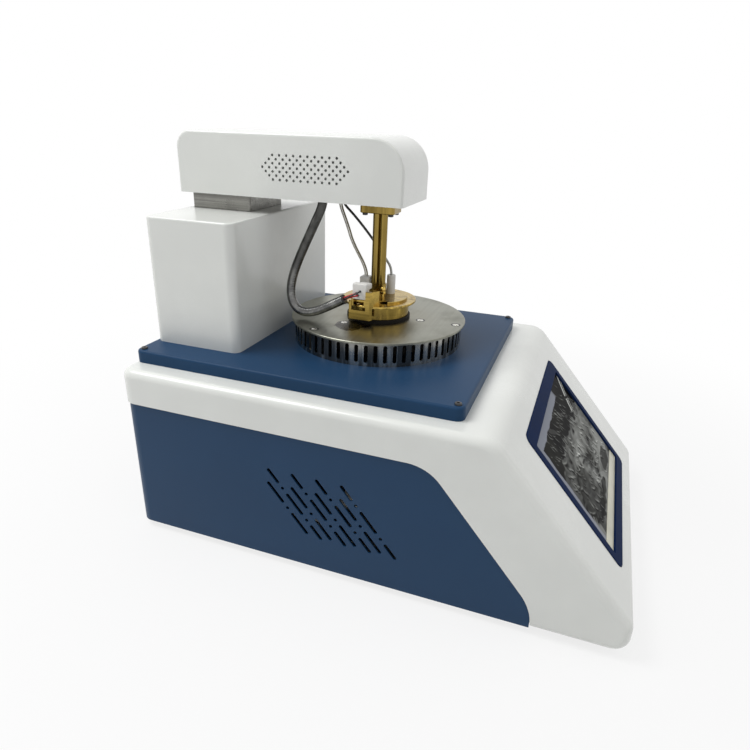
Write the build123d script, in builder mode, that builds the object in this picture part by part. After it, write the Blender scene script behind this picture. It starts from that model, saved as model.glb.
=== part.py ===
from build123d import *

import os
from math import acos, ceil, cos, pi, radians, sin, tan

# Bench flash point tester, closed cup, with a lifting head.
# Millimetres. +X is the user's right, -Y is the front, +Z is up, and the origin lies at the
# middle of the footprint on the table.

os.makedirs("parts", exist_ok=True)

# ---------------------------------------------------------------- fits
CLEARANCE = 0.3  # between pieces that only lie next to each other
RUNNING_FIT = 0.05  # radial play of a shaft in its bush
FAR = 400.0  # reaches past everything, for cuts that go right through

# ---------------------------------------------------------------- housing
WIDTH = 330.0
LENGTH = 502.0
FOOT_HEIGHT = 8.0
HOUSING_TOP = 184.5
WALL = 3.0
EDGE_ROUND = 8.0
REAR_CORNER = 15.0
SLOPE_ANGLE = 48.4  # of the sloping front, from the table
SLOPE_SETBACK = 132.0  # from the front face to the upper end of the slope
SLOPE_ROUND = 25.0
NOSE_ROUND = 9.5
CHIN_ROUND = 15.0
LIP = 8.0  # of the housing's turned-in bottom edge
SIDE = WIDTH / 2
REAR = LENGTH / 2
FRONT = -REAR
BASE = FOOT_HEIGHT
SLOPE_Y = FRONT + SLOPE_SETBACK
LIP_FRONT = FRONT + CHIN_ROUND + 2.0  # front edge of the opening in the bottom

# ---------------------------------------------------------------- blue side and rear panels
SEAM_HEIGHT = 149.3
SEAM_GAP = 0.5
PANEL_THICK = 1.5
PANEL_INSET = WALL + CLEARANCE - PANEL_THICK  # puts the panels' tabs just inside the wall
PANEL_ANGLE = 49.5
PANEL_KNEE_Y = -66.94  # where the seam would meet the slanted edge
PANEL_TOE_Y = -169.5
PANEL_KNEE_ROUND = 40.0
PANEL_TOE_ROUND = 50.0
PANEL_RETURN = 25.0  # how far the side panels come round onto the rear
TAB_WIDTH = 30.0
TAB_REACH = 9.0
NOTCH_RADIUS = 1.6
VENT_WIDTH = 3.6
VENT_ANGLE = 49.9
VENT_PITCH = 25.07
VENT_GROUPS = 4
VENT_LINES = (
    # start y, start z, slots from end to end, dots: measured down the line
    (88.0, 109.7, ((0.0, 18.0), (30.7, 56.5), (69.2, 87.4)), (23.9, 62.9)),
    (88.4, 94.9, ((0.0, 25.8), (38.6, 64.7)), (32.2,)),
)

# ---------------------------------------------------------------- base and its contents
PAN_THICK = 2.0
PAN_FLANGE = 14.0
FOOT_RADIUS = 13.0
FOOT_X = 135.0
FOOT_FRONT = 46.0  # from the front face to the front feet
FOOT_REAR = 36.0
SUPPLY_SIZE = (98.0, 160.0, 40.0)
SUPPLY_X = -96.0
SUPPLY_Y = 120.0
INLET_X = -92.0
INLET_WIDTH = 27.0
INLET_HEIGHT = 50.0
INLET_Z = 62.0
FAN_SIZE = 80.0
FAN_DEPTH = 25.0
FAN_X = 72.0
FAN_Z = 82.0
FAN_BORE = 37.5
FAN_BLADES = 7

# ---------------------------------------------------------------- display
BEZEL_WIDTH = 209.0
BEZEL_HEIGHT = 153.0
BEZEL_ROUND = 8.0
BEZEL_PROUD = 0.8
BEZEL_RECESS = 1.5
BEZEL_DOWN = 104.8  # from the upper end of the slope to the bezel's middle
SCREEN_WIDTH = 190.0
SCREEN_HEIGHT = 126.0
SCREEN_DOWN = 106.3
SCREEN_LAP = 3.0
GLASS_THICK = 1.8
MODULE_THICK = 8.0
STANDOFF = 12.0

# ---------------------------------------------------------------- deck
DECK_MARGIN_SIDE = 23.7
DECK_MARGIN_REAR = 4.1
DECK_SETBACK = 30.3  # from the upper end of the slope
DECK_THICKNESS = 12.8
DECK_CORNER = 8.0
DECK_EDGE = 2.5
DECK_SHEET = 4.0
LEDGE = 16.0  # width of the housing's top that carries the deck
DECK_SCREW_INSET = 7.0
DECK_TOP = HOUSING_TOP + DECK_THICKNESS
DECK_FRONT = SLOPE_Y + DECK_SETBACK
DECK_REAR = REAR - DECK_MARGIN_REAR
DECK_Y = (DECK_FRONT + DECK_REAR) / 2
DECK_WIDTH = WIDTH - 2 * DECK_MARGIN_SIDE
DECK_LENGTH = DECK_REAR - DECK_FRONT

# ---------------------------------------------------------------- heater and cup
HEATER_Y = 38.6
PLATE_RADIUS = 92.3
PLATE_OVERHANG = 3.6
GUARD_RADIUS = PLATE_RADIUS - PLATE_OVERHANG
GUARD_WALL = 2.0
GUARD_HEIGHT = 23.2
GUARD_SLOTS = 60
GUARD_SLOT = (17.5, 3.9)
PLATE_THICK = 2.0
PLATE_BOTTOM = DECK_TOP + GUARD_HEIGHT
PLATE_TOP = PLATE_BOTTOM + PLATE_THICK
PLATE_SCREW_INSET = 7.9
OUTER_SCREWS = PLATE_RADIUS - PLATE_SCREW_INSET
INNER_SCREWS = 46.6
SCREW_ANGLES = (-89.5, 30.5, 150.5)
SCREW_HEAD = 3.5
SCREW_SHANK = 1.5
PILLAR_RADIUS = 2.1
CUP_RADIUS = 25.4
CUP_DEPTH = 55.9
CUP_WALL = 2.4
CUP_FLANGE = 2.8
SEAT_HEIGHT = 3.5
SEAT_RADIUS = 33.5
WELL_GAP = 1.0
BLOCK_RADIUS = 40.0
BLOCK_FLANGE = 52.0
BLOCK_FLANGE_THICK = 5.0
BLOCK_FLOOR = 7.0
BAND_THICK = 3.5
BAND_HEIGHT = 34.0
INSULATION_THICK = 11.0
DECK_HOLE = 58.0

# ---------------------------------------------------------------- lid and head
LID_RADIUS = 38.9
LID_THICK = 2.3
SKIRT_RADIUS = 31.7
SKIRT_HEIGHT = 13.2
COVER_RADIUS = 30.0
COVER_HEIGHT = 2.4
COVER_SHEET = 0.9
COVER_RIM = 1.6
SHUTTER_THICK = 0.9
SEAT_TOP = PLATE_TOP + SEAT_HEIGHT
SKIRT_BOTTOM = SEAT_TOP + CLEARANCE
LID_BOTTOM = SKIRT_BOTTOM + SKIRT_HEIGHT
LID_TOP = LID_BOTTOM + LID_THICK
COVER_TOP = LID_TOP + COVER_HEIGHT
CUP_RIM = LID_BOTTOM - CLEARANCE
CUP_INSIDE = CUP_RIM - CUP_DEPTH
CUP_OUTER = CUP_RADIUS + CUP_WALL

STIRRER_Y = 36.4
SHAFT_PITCH = 7.6
SHUTTER_Y = STIRRER_Y + SHAFT_PITCH
SHAFT_RADIUS = 1.8
BUSH_RADIUS = 3.15
TUBE_RADIUS = 3.9
TUBE_BORE = 2.6
NUT_HEIGHT = 5.8
HUB_HEIGHT = 7.0
HUB_RADIUS = 5.2
TUBE_LENGTH = 71.6
HEAD_FLANGE = (26.0, 36.0, 11.0)
FOOT_TOP = COVER_TOP + NUT_HEIGHT + HUB_HEIGHT
HEAD_FLANGE_BOTTOM = FOOT_TOP + TUBE_LENGTH
ARM_BOTTOM = HEAD_FLANGE_BOTTOM + HEAD_FLANGE[2]

SHUTTER_REACH = 22.5
PORT_REACH = 16.6
PORT_ANGLE = 173.0
PORT_SIZE = (6.4, 5.0)

PROBE_PLACE = (0.3, 53.9)
PROBE_RADIUS = 2.0
PROBE_HEAD = 5.5
PROBE_HEAD_HEIGHT = 6.4
DETECTOR_PLACE = (12.5, 30.1)
DETECTOR_RADIUS = 4.7

# ---------------------------------------------------------------- igniter
BRACKET_X = -42.5  # outer face of the bracket's near plate
BRACKET_Y = (34.0, 56.0)
BRACKET_THICK = 3.0
BRACKET_BOTTOM = 228.0
BRACKET_TOP = 257.0
BARREL_X = -33.2
BARREL_Y = 46.0
BARREL_RADIUS = 2.9
BARREL_LENGTH = 10.6
BARREL_GAP = 0.6  # barrel to the lid's flange
BARREL_Z = LID_TOP + BARREL_GAP + BARREL_RADIUS
IGNITER_DIP = 36.0
IGNITER_REACH = 15.7
PIVOT_PIN = 1.0
IGNITER_DROP = 7.3

# ---------------------------------------------------------------- arm
ARM_WIDTH = 84.2
ARM_HEIGHT = 59.7
ARM_FRONT = HEATER_Y - 33.9
ARM_REAR = 248.0
ARM_FRONT_ROUND = 32.0
ARM_REAR_ROUND = 17.0
ARM_EDGE = 2.6
ARM_WALL = 2.0
GRILLE_ROWS = (10, 11, 12, 13, 12, 11, 10)
GRILLE_PITCH = 7.5
GRILLE_ROW_PITCH = 3.73
GRILLE_HOLE = 1.35
GRILLE_Y = 104.5
GRILLE_Z = 368.6
ARM_PLATE = 3.0
ARM_TOP = ARM_BOTTOM + ARM_HEIGHT
PLATFORM_HEIGHT = 19.4
PLATFORM_THICK = 2.0
GEAR_MODULE = 0.8
SHUTTER_TEETH = 12
DRIVE_TEETH = 30
GEAR_LIFT = 3.0  # above the arm's base plate
GEAR_THICK = 4.0
STIR_MOTOR = (14.0, 27.0)  # radius, height
SHUTTER_MOTOR = (20.0, 22.0)  # side, height

# ---------------------------------------------------------------- column and lift
COLUMN_WIDTH = 218.0
COLUMN_FRONT = 147.3
COLUMN_REAR = 244.3
COLUMN_DROP = 15.9  # from the arm down to the column cover's top
COLUMN_CORNER = 8.0
COLUMN_EDGE = 2.0  # round of the top's outline
COLUMN_WALL = 2.0
COLUMN_TOP = ARM_BOTTOM - COLUMN_DROP
SLEEVE_WIDTH = 70.0
SLEEVE_Y = (169.7, 238.3)
SLEEVE_WALL = 1.7
SLEEVE_CORNER = 3.0
SLEEVE_GAP = 0.5
SLEEVE_LIFT = 7.7  # bottom of the sleeve above the deck
ROD_RADIUS = 4.0
ROD_X = 22.0
ROD_WALL = 2.9  # of the bearing block, behind the rods
BLOCK_HEIGHT = 15.0
BEARING_WALL = 3.0  # in front of the rods
RACK_MODULE = 1.0
PINION_TEETH = 16
RACK_X = (-27.0, -19.0)
RACK_BACK = 190.5
RACK_DEPTH = 8.5
MAST_THICK = 4.0
MAST_FOOT = 5.0
LIFT_MOTOR = (30.0, 30.0)  # length along X, side
PINION_Z = 300.0
ROD_TOP = 324.0

# ---------------------------------------------------------------- hose and cables
HOSE_RADIUS = 5.0
HOSE_BORE = 3.8
HOSE_OPEN = 6.0  # depth of the hollow where the wires come out
HOSE_POINTS = (
    (-28.0, 90.4, 342.6),
    (-28.2, 90.5, 334.5),
    (-33.0, 97.6, 318.0),
    (-37.0, 105.4, 299.5),
    (-40.5, 113.4, 280.0),
    (-43.0, 118.6, 264.0),
    (-44.6, 120.4, 249.0),
    (-45.6, 117.4, 236.6),
    (-46.0, 108.6, 229.4),
    (-46.3, 96.0, 230.0),
    (-46.4, 82.0, 235.9),
    (-46.4, 59.1, 248.9),
)
SENSOR_WIRE_RADIUS = 0.8
SENSOR_WIRE_SPREAD = 1.1
SENSOR_POINTS = (
    (0.3, 85.0, 342.6),
    (0.3, 85.0, 334.0),
    (0.0, 75.4, 312.4),
    (0.0, 70.2, 296.5),
    (0.3, 53.9, 270.6),
    (0.3, 53.9, 263.4),
)
DETECTOR_CABLE_RADIUS = 1.3
DETECTOR_POINTS = (
    (12.5, 88.0, 342.6),
    (12.5, 88.0, 334.5),
    (12.7, 72.5, 321.0),
    (12.8, 52.5, 299.5),
    (12.6, 36.5, 279.5),
    (12.5, 30.1, 270.5),
    (12.5, 30.1, 262.9),
)
WIRE_RADIUS = 0.6
IGNITER_WIRES = (
    ((-46.4, 62.4, 248.6), (-45.4, 55.0, 252.9), (-42.8, 48.8, 254.4), (-40.0, 48.8, 254.4)),
    ((-45.2, 61.3, 246.8), (-44.6, 54.6, 250.6), (-42.8, 47.2, 252.4), (-40.0, 47.2, 252.4)),
    ((-47.6, 61.4, 247.0), (-46.8, 54.8, 251.6), (-43.6, 45.0, 256.6), (-40.0, 45.0, 256.6)),
)


# ================================================================ shared helpers
def level(z):
    """Horizontal plane at height z."""
    return Plane.XY.offset(z)


def facing_front(y):
    """Upright plane at y whose local axes are +X and +Z; it extrudes towards the front."""
    return Plane.XZ.offset(-y)


def facing_right(x):
    """Upright plane at x whose local axes are +Y and +Z; it extrudes towards +X."""
    return Plane.YZ.offset(x)


def slope_plane(down, out):
    """Plane on the sloping front, `down` from its upper end and `out` above its surface."""
    tilt = radians(SLOPE_ANGLE)
    y = SLOPE_Y - down * cos(tilt) - out * sin(tilt)
    z = HOUSING_TOP - down * sin(tilt) + out * cos(tilt)
    return Plane(origin=(0, y, z), x_dir=(1, 0, 0), z_dir=(0, -sin(tilt), cos(tilt)))


def turned(points, axis_y):
    """Solid of revolution about the upright axis through (0, axis_y), from (radius, z) points."""
    with BuildPart() as solid:
        with BuildSketch(facing_front(axis_y)):
            with BuildLine():
                Polyline(*points, close=True)
            make_face()
        revolve(axis=Axis((0, axis_y, 0), (0, 0, 1)))
    return solid.part


def slot(length, width, angle=0.0):
    """Outline of a slot whose ends are bevelled, its length at angle from the local X."""
    half = width / 2
    bevel = half * tan(pi / 8)
    with BuildSketch() as outline:
        with BuildLine():
            Polyline(
                (length / 2, bevel),
                (length / 2 - half + bevel, half),
                (half - bevel - length / 2, half),
                (-length / 2, bevel),
                (-length / 2, -bevel),
                (half - bevel - length / 2, -half),
                (length / 2 - half + bevel, -half),
                (length / 2, -bevel),
                close=True,
            )
        make_face()
    return outline.sketch_local.rotate(Axis.Z, angle)


def polar_places(radius, angles, axis_y):
    """Points on a circle about the upright axis through (0, axis_y)."""
    return [(radius * cos(radians(a)), axis_y + radius * sin(radians(a))) for a in angles]


def gear_points(module, teeth, slack, first=0, last=None):
    """Outline points of an involute gear with a tooth on +X; slack thins each tooth."""
    last = teeth - 1 if last is None else last
    pressure = radians(20)
    pitch = module * teeth / 2
    base = pitch * cos(pressure)
    root = pitch - 1.25 * module
    tip = pitch + 0.95 * module
    involute = tan(pressure) - pressure
    half = pi / (2 * teeth) - slack / (2 * pitch)

    def half_angle(radius):
        at = acos(min(1.0, base / radius))
        return half + involute - (tan(at) - at)

    points = []
    for tooth in range(first, last + 1):
        middle = 2 * pi * tooth / teeth
        flank = [(root, half_angle(base)), (base, half_angle(base))]
        flank += [(pitch, half_angle(pitch)), (tip, half_angle(tip))]
        if base <= root:
            flank = flank[1:]
        for radius, angle in flank:
            points.append((radius * cos(middle - angle), radius * sin(middle - angle)))
        for radius, angle in reversed(flank):
            points.append((radius * cos(middle + angle), radius * sin(middle + angle)))
    return points


def bend_radii(points):
    """A radius for each inner point: 0.45 of the shorter run over the tangent of half the turn."""
    radii = []
    for before, here, after in zip(points, points[1:], points[2:]):
        run_in = Vector(*here) - Vector(*before)
        run_out = Vector(*after) - Vector(*here)
        turn = radians(run_in.get_angle(run_out))
        radii.append(0.45 * min(run_in.length, run_out.length) / tan(turn / 2))
    return radii


def cord(points, radius):
    """Round cord along straight runs joined by tangent arcs."""
    radii = bend_radii(points)
    print("bend radii", [round(r, 1) for r in radii])
    with BuildPart() as tube:
        with BuildLine() as route:
            FilletPolyline(*points, radius=radii)
        wire = route.wires()[0]
        with BuildSketch(Plane(origin=wire @ 0, z_dir=wire % 0)):
            Circle(radius)
        sweep(path=wire)
    section = pi * radius**2
    print("volume", round(tube.part.volume, 1), "section x length", round(section * wire.length, 1))
    return tube.part


# ================================================================ housing
def side_outline(inset):
    """Side outline of the housing, moved inwards by inset: nose, slope, top and rear."""
    tilt = radians(SLOPE_ANGLE)
    top = HOUSING_TOP - inset
    rear = REAR - inset
    front = FRONT + inset
    corner_y = SLOPE_Y + inset * sin(tilt) - inset * tan(tilt / 2) * cos(tilt)
    nose_run = (SLOPE_Y + inset * sin(tilt) - front) / cos(tilt)
    nose_z = HOUSING_TOP - inset * cos(tilt) - nose_run * sin(tilt)
    floor = BASE + inset
    with BuildSketch() as outline:
        with BuildLine():
            FilletPolyline(
                (rear, floor),
                (front, floor),
                (front, nose_z),
                (corner_y, top),
                (rear, top),
                radius=[CHIN_ROUND - inset, NOSE_ROUND - inset, SLOPE_ROUND - inset],
            )
            Line((rear, top), (rear, floor))
        make_face()
    return outline.sketch_local


def housing_form(inset):
    """Closed solid of the housing, moved inwards by inset, with its rounded edges."""
    with BuildPart() as form:
        with BuildSketch(facing_right(inset - SIDE)):
            add(side_outline(inset))
        extrude(amount=WIDTH - 2 * inset)
        upright = form.edges().filter_by(Axis.Z).group_by(Axis.Y)[-1]
        fillet(upright, REAR_CORNER - inset)
        sides = form.faces().filter_by(Axis.X).edges()
        rim = sides.filter_by(lambda e: e.center().Y < REAR - REAR_CORNER - 1)
        ends = form.faces().filter_by(Axis.Z).edges()
        back = ends.filter_by(lambda e: e.center().Y > REAR - REAR_CORNER)
        fillet(rim + back, EDGE_ROUND - inset)
    return form.part


def panel_outline(gap):
    """Outline of a side panel in the YZ plane; gap is measured inwards from the seam."""
    slant = radians(PANEL_ANGLE)
    top = SEAM_HEIGHT - gap
    toe_y = PANEL_TOE_Y + gap
    shift = gap / sin(slant)
    knee_y = PANEL_KNEE_Y + shift - gap / tan(slant)
    toe_z = SEAM_HEIGHT + (toe_y - PANEL_KNEE_Y - shift) * tan(slant)
    with BuildSketch() as outline:
        with BuildLine():
            FilletPolyline(
                (FAR, top),
                (knee_y, top),
                (toe_y, toe_z),
                (toe_y, 0.0),
                radius=[PANEL_KNEE_ROUND - gap, PANEL_TOE_ROUND - gap],
            )
            Polyline((toe_y, 0.0), (FAR, 0.0), (FAR, top))
        make_face()
    return outline.sketch_local


def deck_screw_places():
    x = DECK_WIDTH / 2 - DECK_SCREW_INSET
    reach = DECK_LENGTH / 2 - DECK_SCREW_INSET
    return [(sx * x, DECK_Y + sy * reach) for sx in (-1, 1) for sy in (-1, 1)]


with BuildPart() as upper_housing:
    add(housing_form(0.0))
    add(housing_form(WALL), mode=Mode.SUBTRACT)
    with BuildSketch(level(0)):
        with Locations((0, LIP_FRONT + FAR / 2)):
            Rectangle(WIDTH - 2 * LIP, FAR)
    extrude(amount=BASE + 2 * WALL, mode=Mode.SUBTRACT)
    with BuildSketch(facing_right(-WIDTH)):
        add(panel_outline(0.0))
    extrude(amount=2 * WIDTH, mode=Mode.SUBTRACT)
    with BuildSketch(level(HOUSING_TOP - 2 * WALL)):
        with Locations((0, DECK_Y)):
            RectangleRounded(DECK_WIDTH - 2 * LEDGE, DECK_LENGTH - 2 * LEDGE, DECK_CORNER)
    extrude(amount=3 * WALL, mode=Mode.SUBTRACT)
    with BuildSketch(level(HOUSING_TOP - 2 * WALL)):
        with Locations(*deck_screw_places()):
            Circle(SCREW_SHANK + CLEARANCE)
    extrude(amount=3 * WALL, mode=Mode.SUBTRACT)
    with BuildSketch(slope_plane(BEZEL_DOWN, -BEZEL_RECESS)):
        RectangleRounded(BEZEL_WIDTH + 0.6, BEZEL_HEIGHT + 0.6, BEZEL_ROUND + CLEARANCE)
    extrude(amount=2 * WALL, mode=Mode.SUBTRACT)
    with BuildSketch(slope_plane(SCREEN_DOWN, -2 * WALL)):
        lap = 2 * SCREEN_LAP + 2 * CLEARANCE
        RectangleRounded(SCREEN_WIDTH + lap, SCREEN_HEIGHT + lap, SCREEN_LAP)
    extrude(amount=3 * WALL, mode=Mode.SUBTRACT)


def plan_band(inset, thick):
    """Strip of a panel's thickness that follows the plan outline of the housing."""
    width = WIDTH - 2 * inset
    length = LENGTH - 2 * inset
    corner = REAR_CORNER - inset
    RectangleRounded(width, length, corner)
    RectangleRounded(width - 2 * thick, length - 2 * thick, corner - thick, mode=Mode.SUBTRACT)


RETURN_X = SIDE - PANEL_INSET - PANEL_RETURN
TAB_X = SIDE - PANEL_INSET - 2 * PANEL_THICK

with BuildPart() as left_side_panel:
    with BuildSketch(level(BASE)):
        plan_band(PANEL_INSET, PANEL_THICK)
        with Locations((FAR / 2 - RETURN_X, 0)):
            Rectangle(FAR, LENGTH, mode=Mode.SUBTRACT)
    extrude(amount=SEAM_HEIGHT)
    with BuildSketch(facing_right(-WIDTH)):
        add(panel_outline(SEAM_GAP))
    extrude(amount=2 * WIDTH, mode=Mode.INTERSECT)
    with BuildSketch(facing_right(-TAB_X - PANEL_THICK)):
        with Locations((REAR - 75, SEAM_HEIGHT), (REAR - 220, SEAM_HEIGHT)):
            Rectangle(TAB_WIDTH, 2 * TAB_REACH)
        slant_y = (PANEL_KNEE_Y + PANEL_TOE_Y) / 2
        slant_z = SEAM_HEIGHT + (slant_y - PANEL_KNEE_Y) * tan(radians(PANEL_ANGLE))
        with Locations((slant_y, slant_z)):
            Rectangle(TAB_WIDTH, 2 * TAB_REACH, rotation=PANEL_ANGLE)
    extrude(amount=PANEL_THICK)
    with BuildSketch(facing_right(-SIDE)):
        with Locations((-49.2, SEAM_HEIGHT), (-106.9, 102.5), (-147.8, 54.6)):
            Circle(NOTCH_RADIUS)
    extrude(amount=PANEL_INSET + PANEL_THICK + 0.05, mode=Mode.SUBTRACT)
    down_y = -cos(radians(VENT_ANGLE))
    down_z = -sin(radians(VENT_ANGLE))
    with BuildSketch(facing_right(-SIDE)):
        for group in range(VENT_GROUPS):
            for start_y, start_z, slots, dots in VENT_LINES:
                y = start_y - group * VENT_PITCH
                for begin, end in slots:
                    middle = (begin + end) / 2
                    with Locations((y + middle * down_y, start_z + middle * down_z)):
                        add(slot(end - begin, VENT_WIDTH, VENT_ANGLE))
                for dot in dots:
                    with Locations((y + dot * down_y, start_z + dot * down_z)):
                        RegularPolygon(VENT_WIDTH / 2, 8)
    extrude(amount=3 * PANEL_INSET, mode=Mode.SUBTRACT)

with BuildPart() as right_side_panel:
    mirror(left_side_panel.part, about=Plane.YZ)

PANEL_REAR = REAR - PANEL_INSET
PANEL_INNER = PANEL_REAR - PANEL_THICK

with BuildPart() as rear_panel:
    panel_height = SEAM_HEIGHT - SEAM_GAP - BASE
    with BuildSketch(facing_front(PANEL_REAR)):
        with Locations((0, BASE + panel_height / 2)):
            Rectangle(2 * (RETURN_X - SEAM_GAP), panel_height)
        with Locations((FAN_X, FAN_Z)):
            Circle(FAN_BORE, mode=Mode.SUBTRACT)
        with Locations((INLET_X, INLET_Z)):
            Rectangle(INLET_WIDTH + 0.4, INLET_HEIGHT + 0.4, mode=Mode.SUBTRACT)
    extrude(amount=PANEL_THICK)
    with BuildSketch(facing_front(PANEL_INNER)):
        with Locations((-85, SEAM_HEIGHT), (85, SEAM_HEIGHT)):
            Rectangle(TAB_WIDTH, 2 * TAB_REACH)
        for side in (-1, 1):
            with Locations((side * RETURN_X, 45), (side * RETURN_X, 120)):
                Rectangle(2 * TAB_REACH, 16)
    extrude(amount=PANEL_THICK)


# ================================================================ base
def foot_places():
    return [
        (sx * FOOT_X, y) for sx in (-1, 1) for y in (FRONT + FOOT_FRONT, REAR - FOOT_REAR)
    ]


PAN_SIDE = SIDE - LIP - CLEARANCE
PAN_FRONT = LIP_FRONT + CLEARANCE
PAN_REAR = PANEL_INNER - CLEARANCE

with BuildPart() as base_pan:
    pan_y = (PAN_FRONT + PAN_REAR) / 2
    with BuildSketch(level(BASE)):
        with Locations((0, pan_y)):
            RectangleRounded(2 * PAN_SIDE, PAN_REAR - PAN_FRONT, REAR_CORNER - 3.6)
    extrude(amount=PAN_FLANGE)
    offset(amount=-PAN_THICK, openings=base_pan.faces().sort_by(Axis.Z)[-1])
    with BuildSketch(level(BASE)):
        with Locations((0, HEATER_Y)):
            with GridLocations(14, 0, 9, 1):
                Rectangle(4, 60)
    extrude(amount=PAN_THICK, mode=Mode.SUBTRACT)

with BuildPart() as rubber_feet:
    with BuildSketch(level(0)):
        with Locations(*foot_places()):
            Circle(FOOT_RADIUS - 1.5)
    extrude(amount=FOOT_HEIGHT, taper=-8)
    with BuildSketch(level(0)):
        with Locations(*foot_places()):
            Circle(4.5)
    extrude(amount=4.0, mode=Mode.SUBTRACT)

with BuildPart() as power_supply:
    with BuildSketch(level(BASE + PAN_THICK)):
        with Locations((SUPPLY_X, SUPPLY_Y)):
            Rectangle(SUPPLY_SIZE[0], SUPPLY_SIZE[1])
    extrude(amount=SUPPLY_SIZE[2])
    chamfer(power_supply.faces().sort_by(Axis.Z)[-1].edges(), 1.0)
    with BuildSketch(level(BASE + PAN_THICK + SUPPLY_SIZE[2])):
        with Locations((SUPPLY_X, SUPPLY_Y + 10)):
            with GridLocations(0, 9, 1, 12):
                Rectangle(70, 3.5)
    extrude(amount=-1.0, mode=Mode.SUBTRACT)

INLET_BODY = 24.0
SOCKET_Z = INLET_Z - 11.0
ROCKER_Z = INLET_Z + 14.5
ROCKER_Y = REAR - 5.8
ROCKER_WIDTH = 19.2
ROCKER_PIN = 0.9

with BuildPart() as power_inlet:
    with BuildSketch(facing_front(REAR - CLEARANCE)):
        with Locations((INLET_X, INLET_Z)):
            RectangleRounded(INLET_WIDTH + 7, INLET_HEIGHT + 7, 2)
    extrude(amount=PANEL_INSET - CLEARANCE)
    with BuildSketch(facing_front(PANEL_REAR)):
        with Locations((INLET_X, INLET_Z)):
            Rectangle(INLET_WIDTH, INLET_HEIGHT)
    extrude(amount=INLET_BODY)
    with BuildSketch(facing_front(REAR)):
        with Locations((INLET_X, SOCKET_Z)):
            Rectangle(23.5, 16.5)
    extrude(amount=16.0, mode=Mode.SUBTRACT)
    with BuildSketch(facing_front(REAR)):
        with Locations((INLET_X, ROCKER_Z)):
            Rectangle(ROCKER_WIDTH + 2 * CLEARANCE, 14.4)
    extrude(amount=14.0, mode=Mode.SUBTRACT)
    with BuildSketch(facing_right(INLET_X - ROCKER_WIDTH / 2 - 1.5)):
        with Locations((ROCKER_Y, ROCKER_Z)):
            Circle(ROCKER_PIN + RUNNING_FIT)
    extrude(amount=ROCKER_WIDTH + 3.0, mode=Mode.SUBTRACT)
    with BuildSketch(facing_front(REAR - 16.5)):
        with Locations((INLET_X - 7, SOCKET_Z - 2), (INLET_X, SOCKET_Z + 2)):
            Rectangle(2.0, 4.0)
        with Locations((INLET_X + 7, SOCKET_Z - 2)):
            Rectangle(2.0, 4.0)
    extrude(amount=-8.0)

with BuildPart() as power_rocker:
    with BuildSketch(facing_right(INLET_X - ROCKER_WIDTH / 2)):
        with BuildLine():
            Polyline(
                (ROCKER_Y + 3.4, ROCKER_Z),
                (ROCKER_Y + 4.2, ROCKER_Z - 6.2),
                (ROCKER_Y - 4.2, ROCKER_Z - 5.4),
                (ROCKER_Y - 4.2, ROCKER_Z + 5.4),
                (ROCKER_Y + 4.2, ROCKER_Z + 6.2),
                close=True,
            )
        make_face()
    extrude(amount=ROCKER_WIDTH)
    with BuildSketch(facing_right(INLET_X - ROCKER_WIDTH / 2 - 1.4)):
        with Locations((ROCKER_Y, ROCKER_Z)):
            Circle(ROCKER_PIN)
    extrude(amount=ROCKER_WIDTH + 2.8)

# ---------------------------------------------------------------- fan
FAN_FRONT = PANEL_INNER - FAN_DEPTH
FAN_HUB = 17.0
FAN_PIN = 1.5

with BuildPart() as cooling_fan:
    with BuildSketch(facing_front(PANEL_INNER)):
        with Locations((FAN_X, FAN_Z)):
            RectangleRounded(FAN_SIZE, FAN_SIZE, 4)
            Circle(FAN_BORE + 0.7, mode=Mode.SUBTRACT)
            with GridLocations(71.5, 71.5, 2, 2):
                Circle(2.2, mode=Mode.SUBTRACT)
    extrude(amount=FAN_DEPTH)
    with BuildSketch(facing_front(FAN_FRONT + 2)):
        with Locations((FAN_X, FAN_Z)):
            Circle(FAN_HUB)
            Rectangle(2 * FAN_BORE + 2, 5, rotation=45)
            Rectangle(2 * FAN_BORE + 2, 5, rotation=-45)
    extrude(amount=2)
    with BuildSketch(facing_front(FAN_FRONT + 10)):
        with Locations((FAN_X, FAN_Z)):
            Circle(FAN_PIN)
    extrude(amount=8)

FAN_CENTRE = Plane(origin=(FAN_X, PANEL_INNER - 11.5, FAN_Z), x_dir=(1, 0, 0), z_dir=(0, -1, 0))

with BuildPart(FAN_CENTRE) as fan_rotor:
    Cylinder(FAN_HUB, 18)
    with PolarLocations(FAN_HUB + 9.2, FAN_BLADES):
        Box(20.4, 1.8, 20, rotation=(38, 0, 0))
    Cylinder(FAN_PIN + RUNNING_FIT, 40, mode=Mode.SUBTRACT)
    with Locations((0, 0, -8)):
        Cylinder(FAN_HUB - 1, 3)

with BuildPart() as fan_guard:
    with BuildSketch(facing_front(REAR - 0.2)):
        with Locations((FAN_X, FAN_Z)):
            for radius in (10, 19, 28, 37):
                Circle(radius + 0.8)
                Circle(radius - 0.8, mode=Mode.SUBTRACT)
            for angle in (45, 135):
                Rectangle(102, 1.6, rotation=angle)
    extrude(amount=PANEL_INSET - 0.2)

# ================================================================ display
with BuildPart() as display_bezel:
    with BuildSketch(slope_plane(BEZEL_DOWN, -BEZEL_RECESS)):
        RectangleRounded(BEZEL_WIDTH, BEZEL_HEIGHT, BEZEL_ROUND)
    extrude(amount=BEZEL_RECESS + BEZEL_PROUD)
    front_face = display_bezel.faces().sort_by(Axis((0, 0, 0), slope_plane(0, 0).z_dir))[-1]
    chamfer(front_face.edges(), 0.6)
    with BuildSketch(slope_plane(SCREEN_DOWN, -BEZEL_RECESS)):
        RectangleRounded(SCREEN_WIDTH, SCREEN_HEIGHT, 1.5)
    extrude(amount=2 * WALL, mode=Mode.SUBTRACT)

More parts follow.
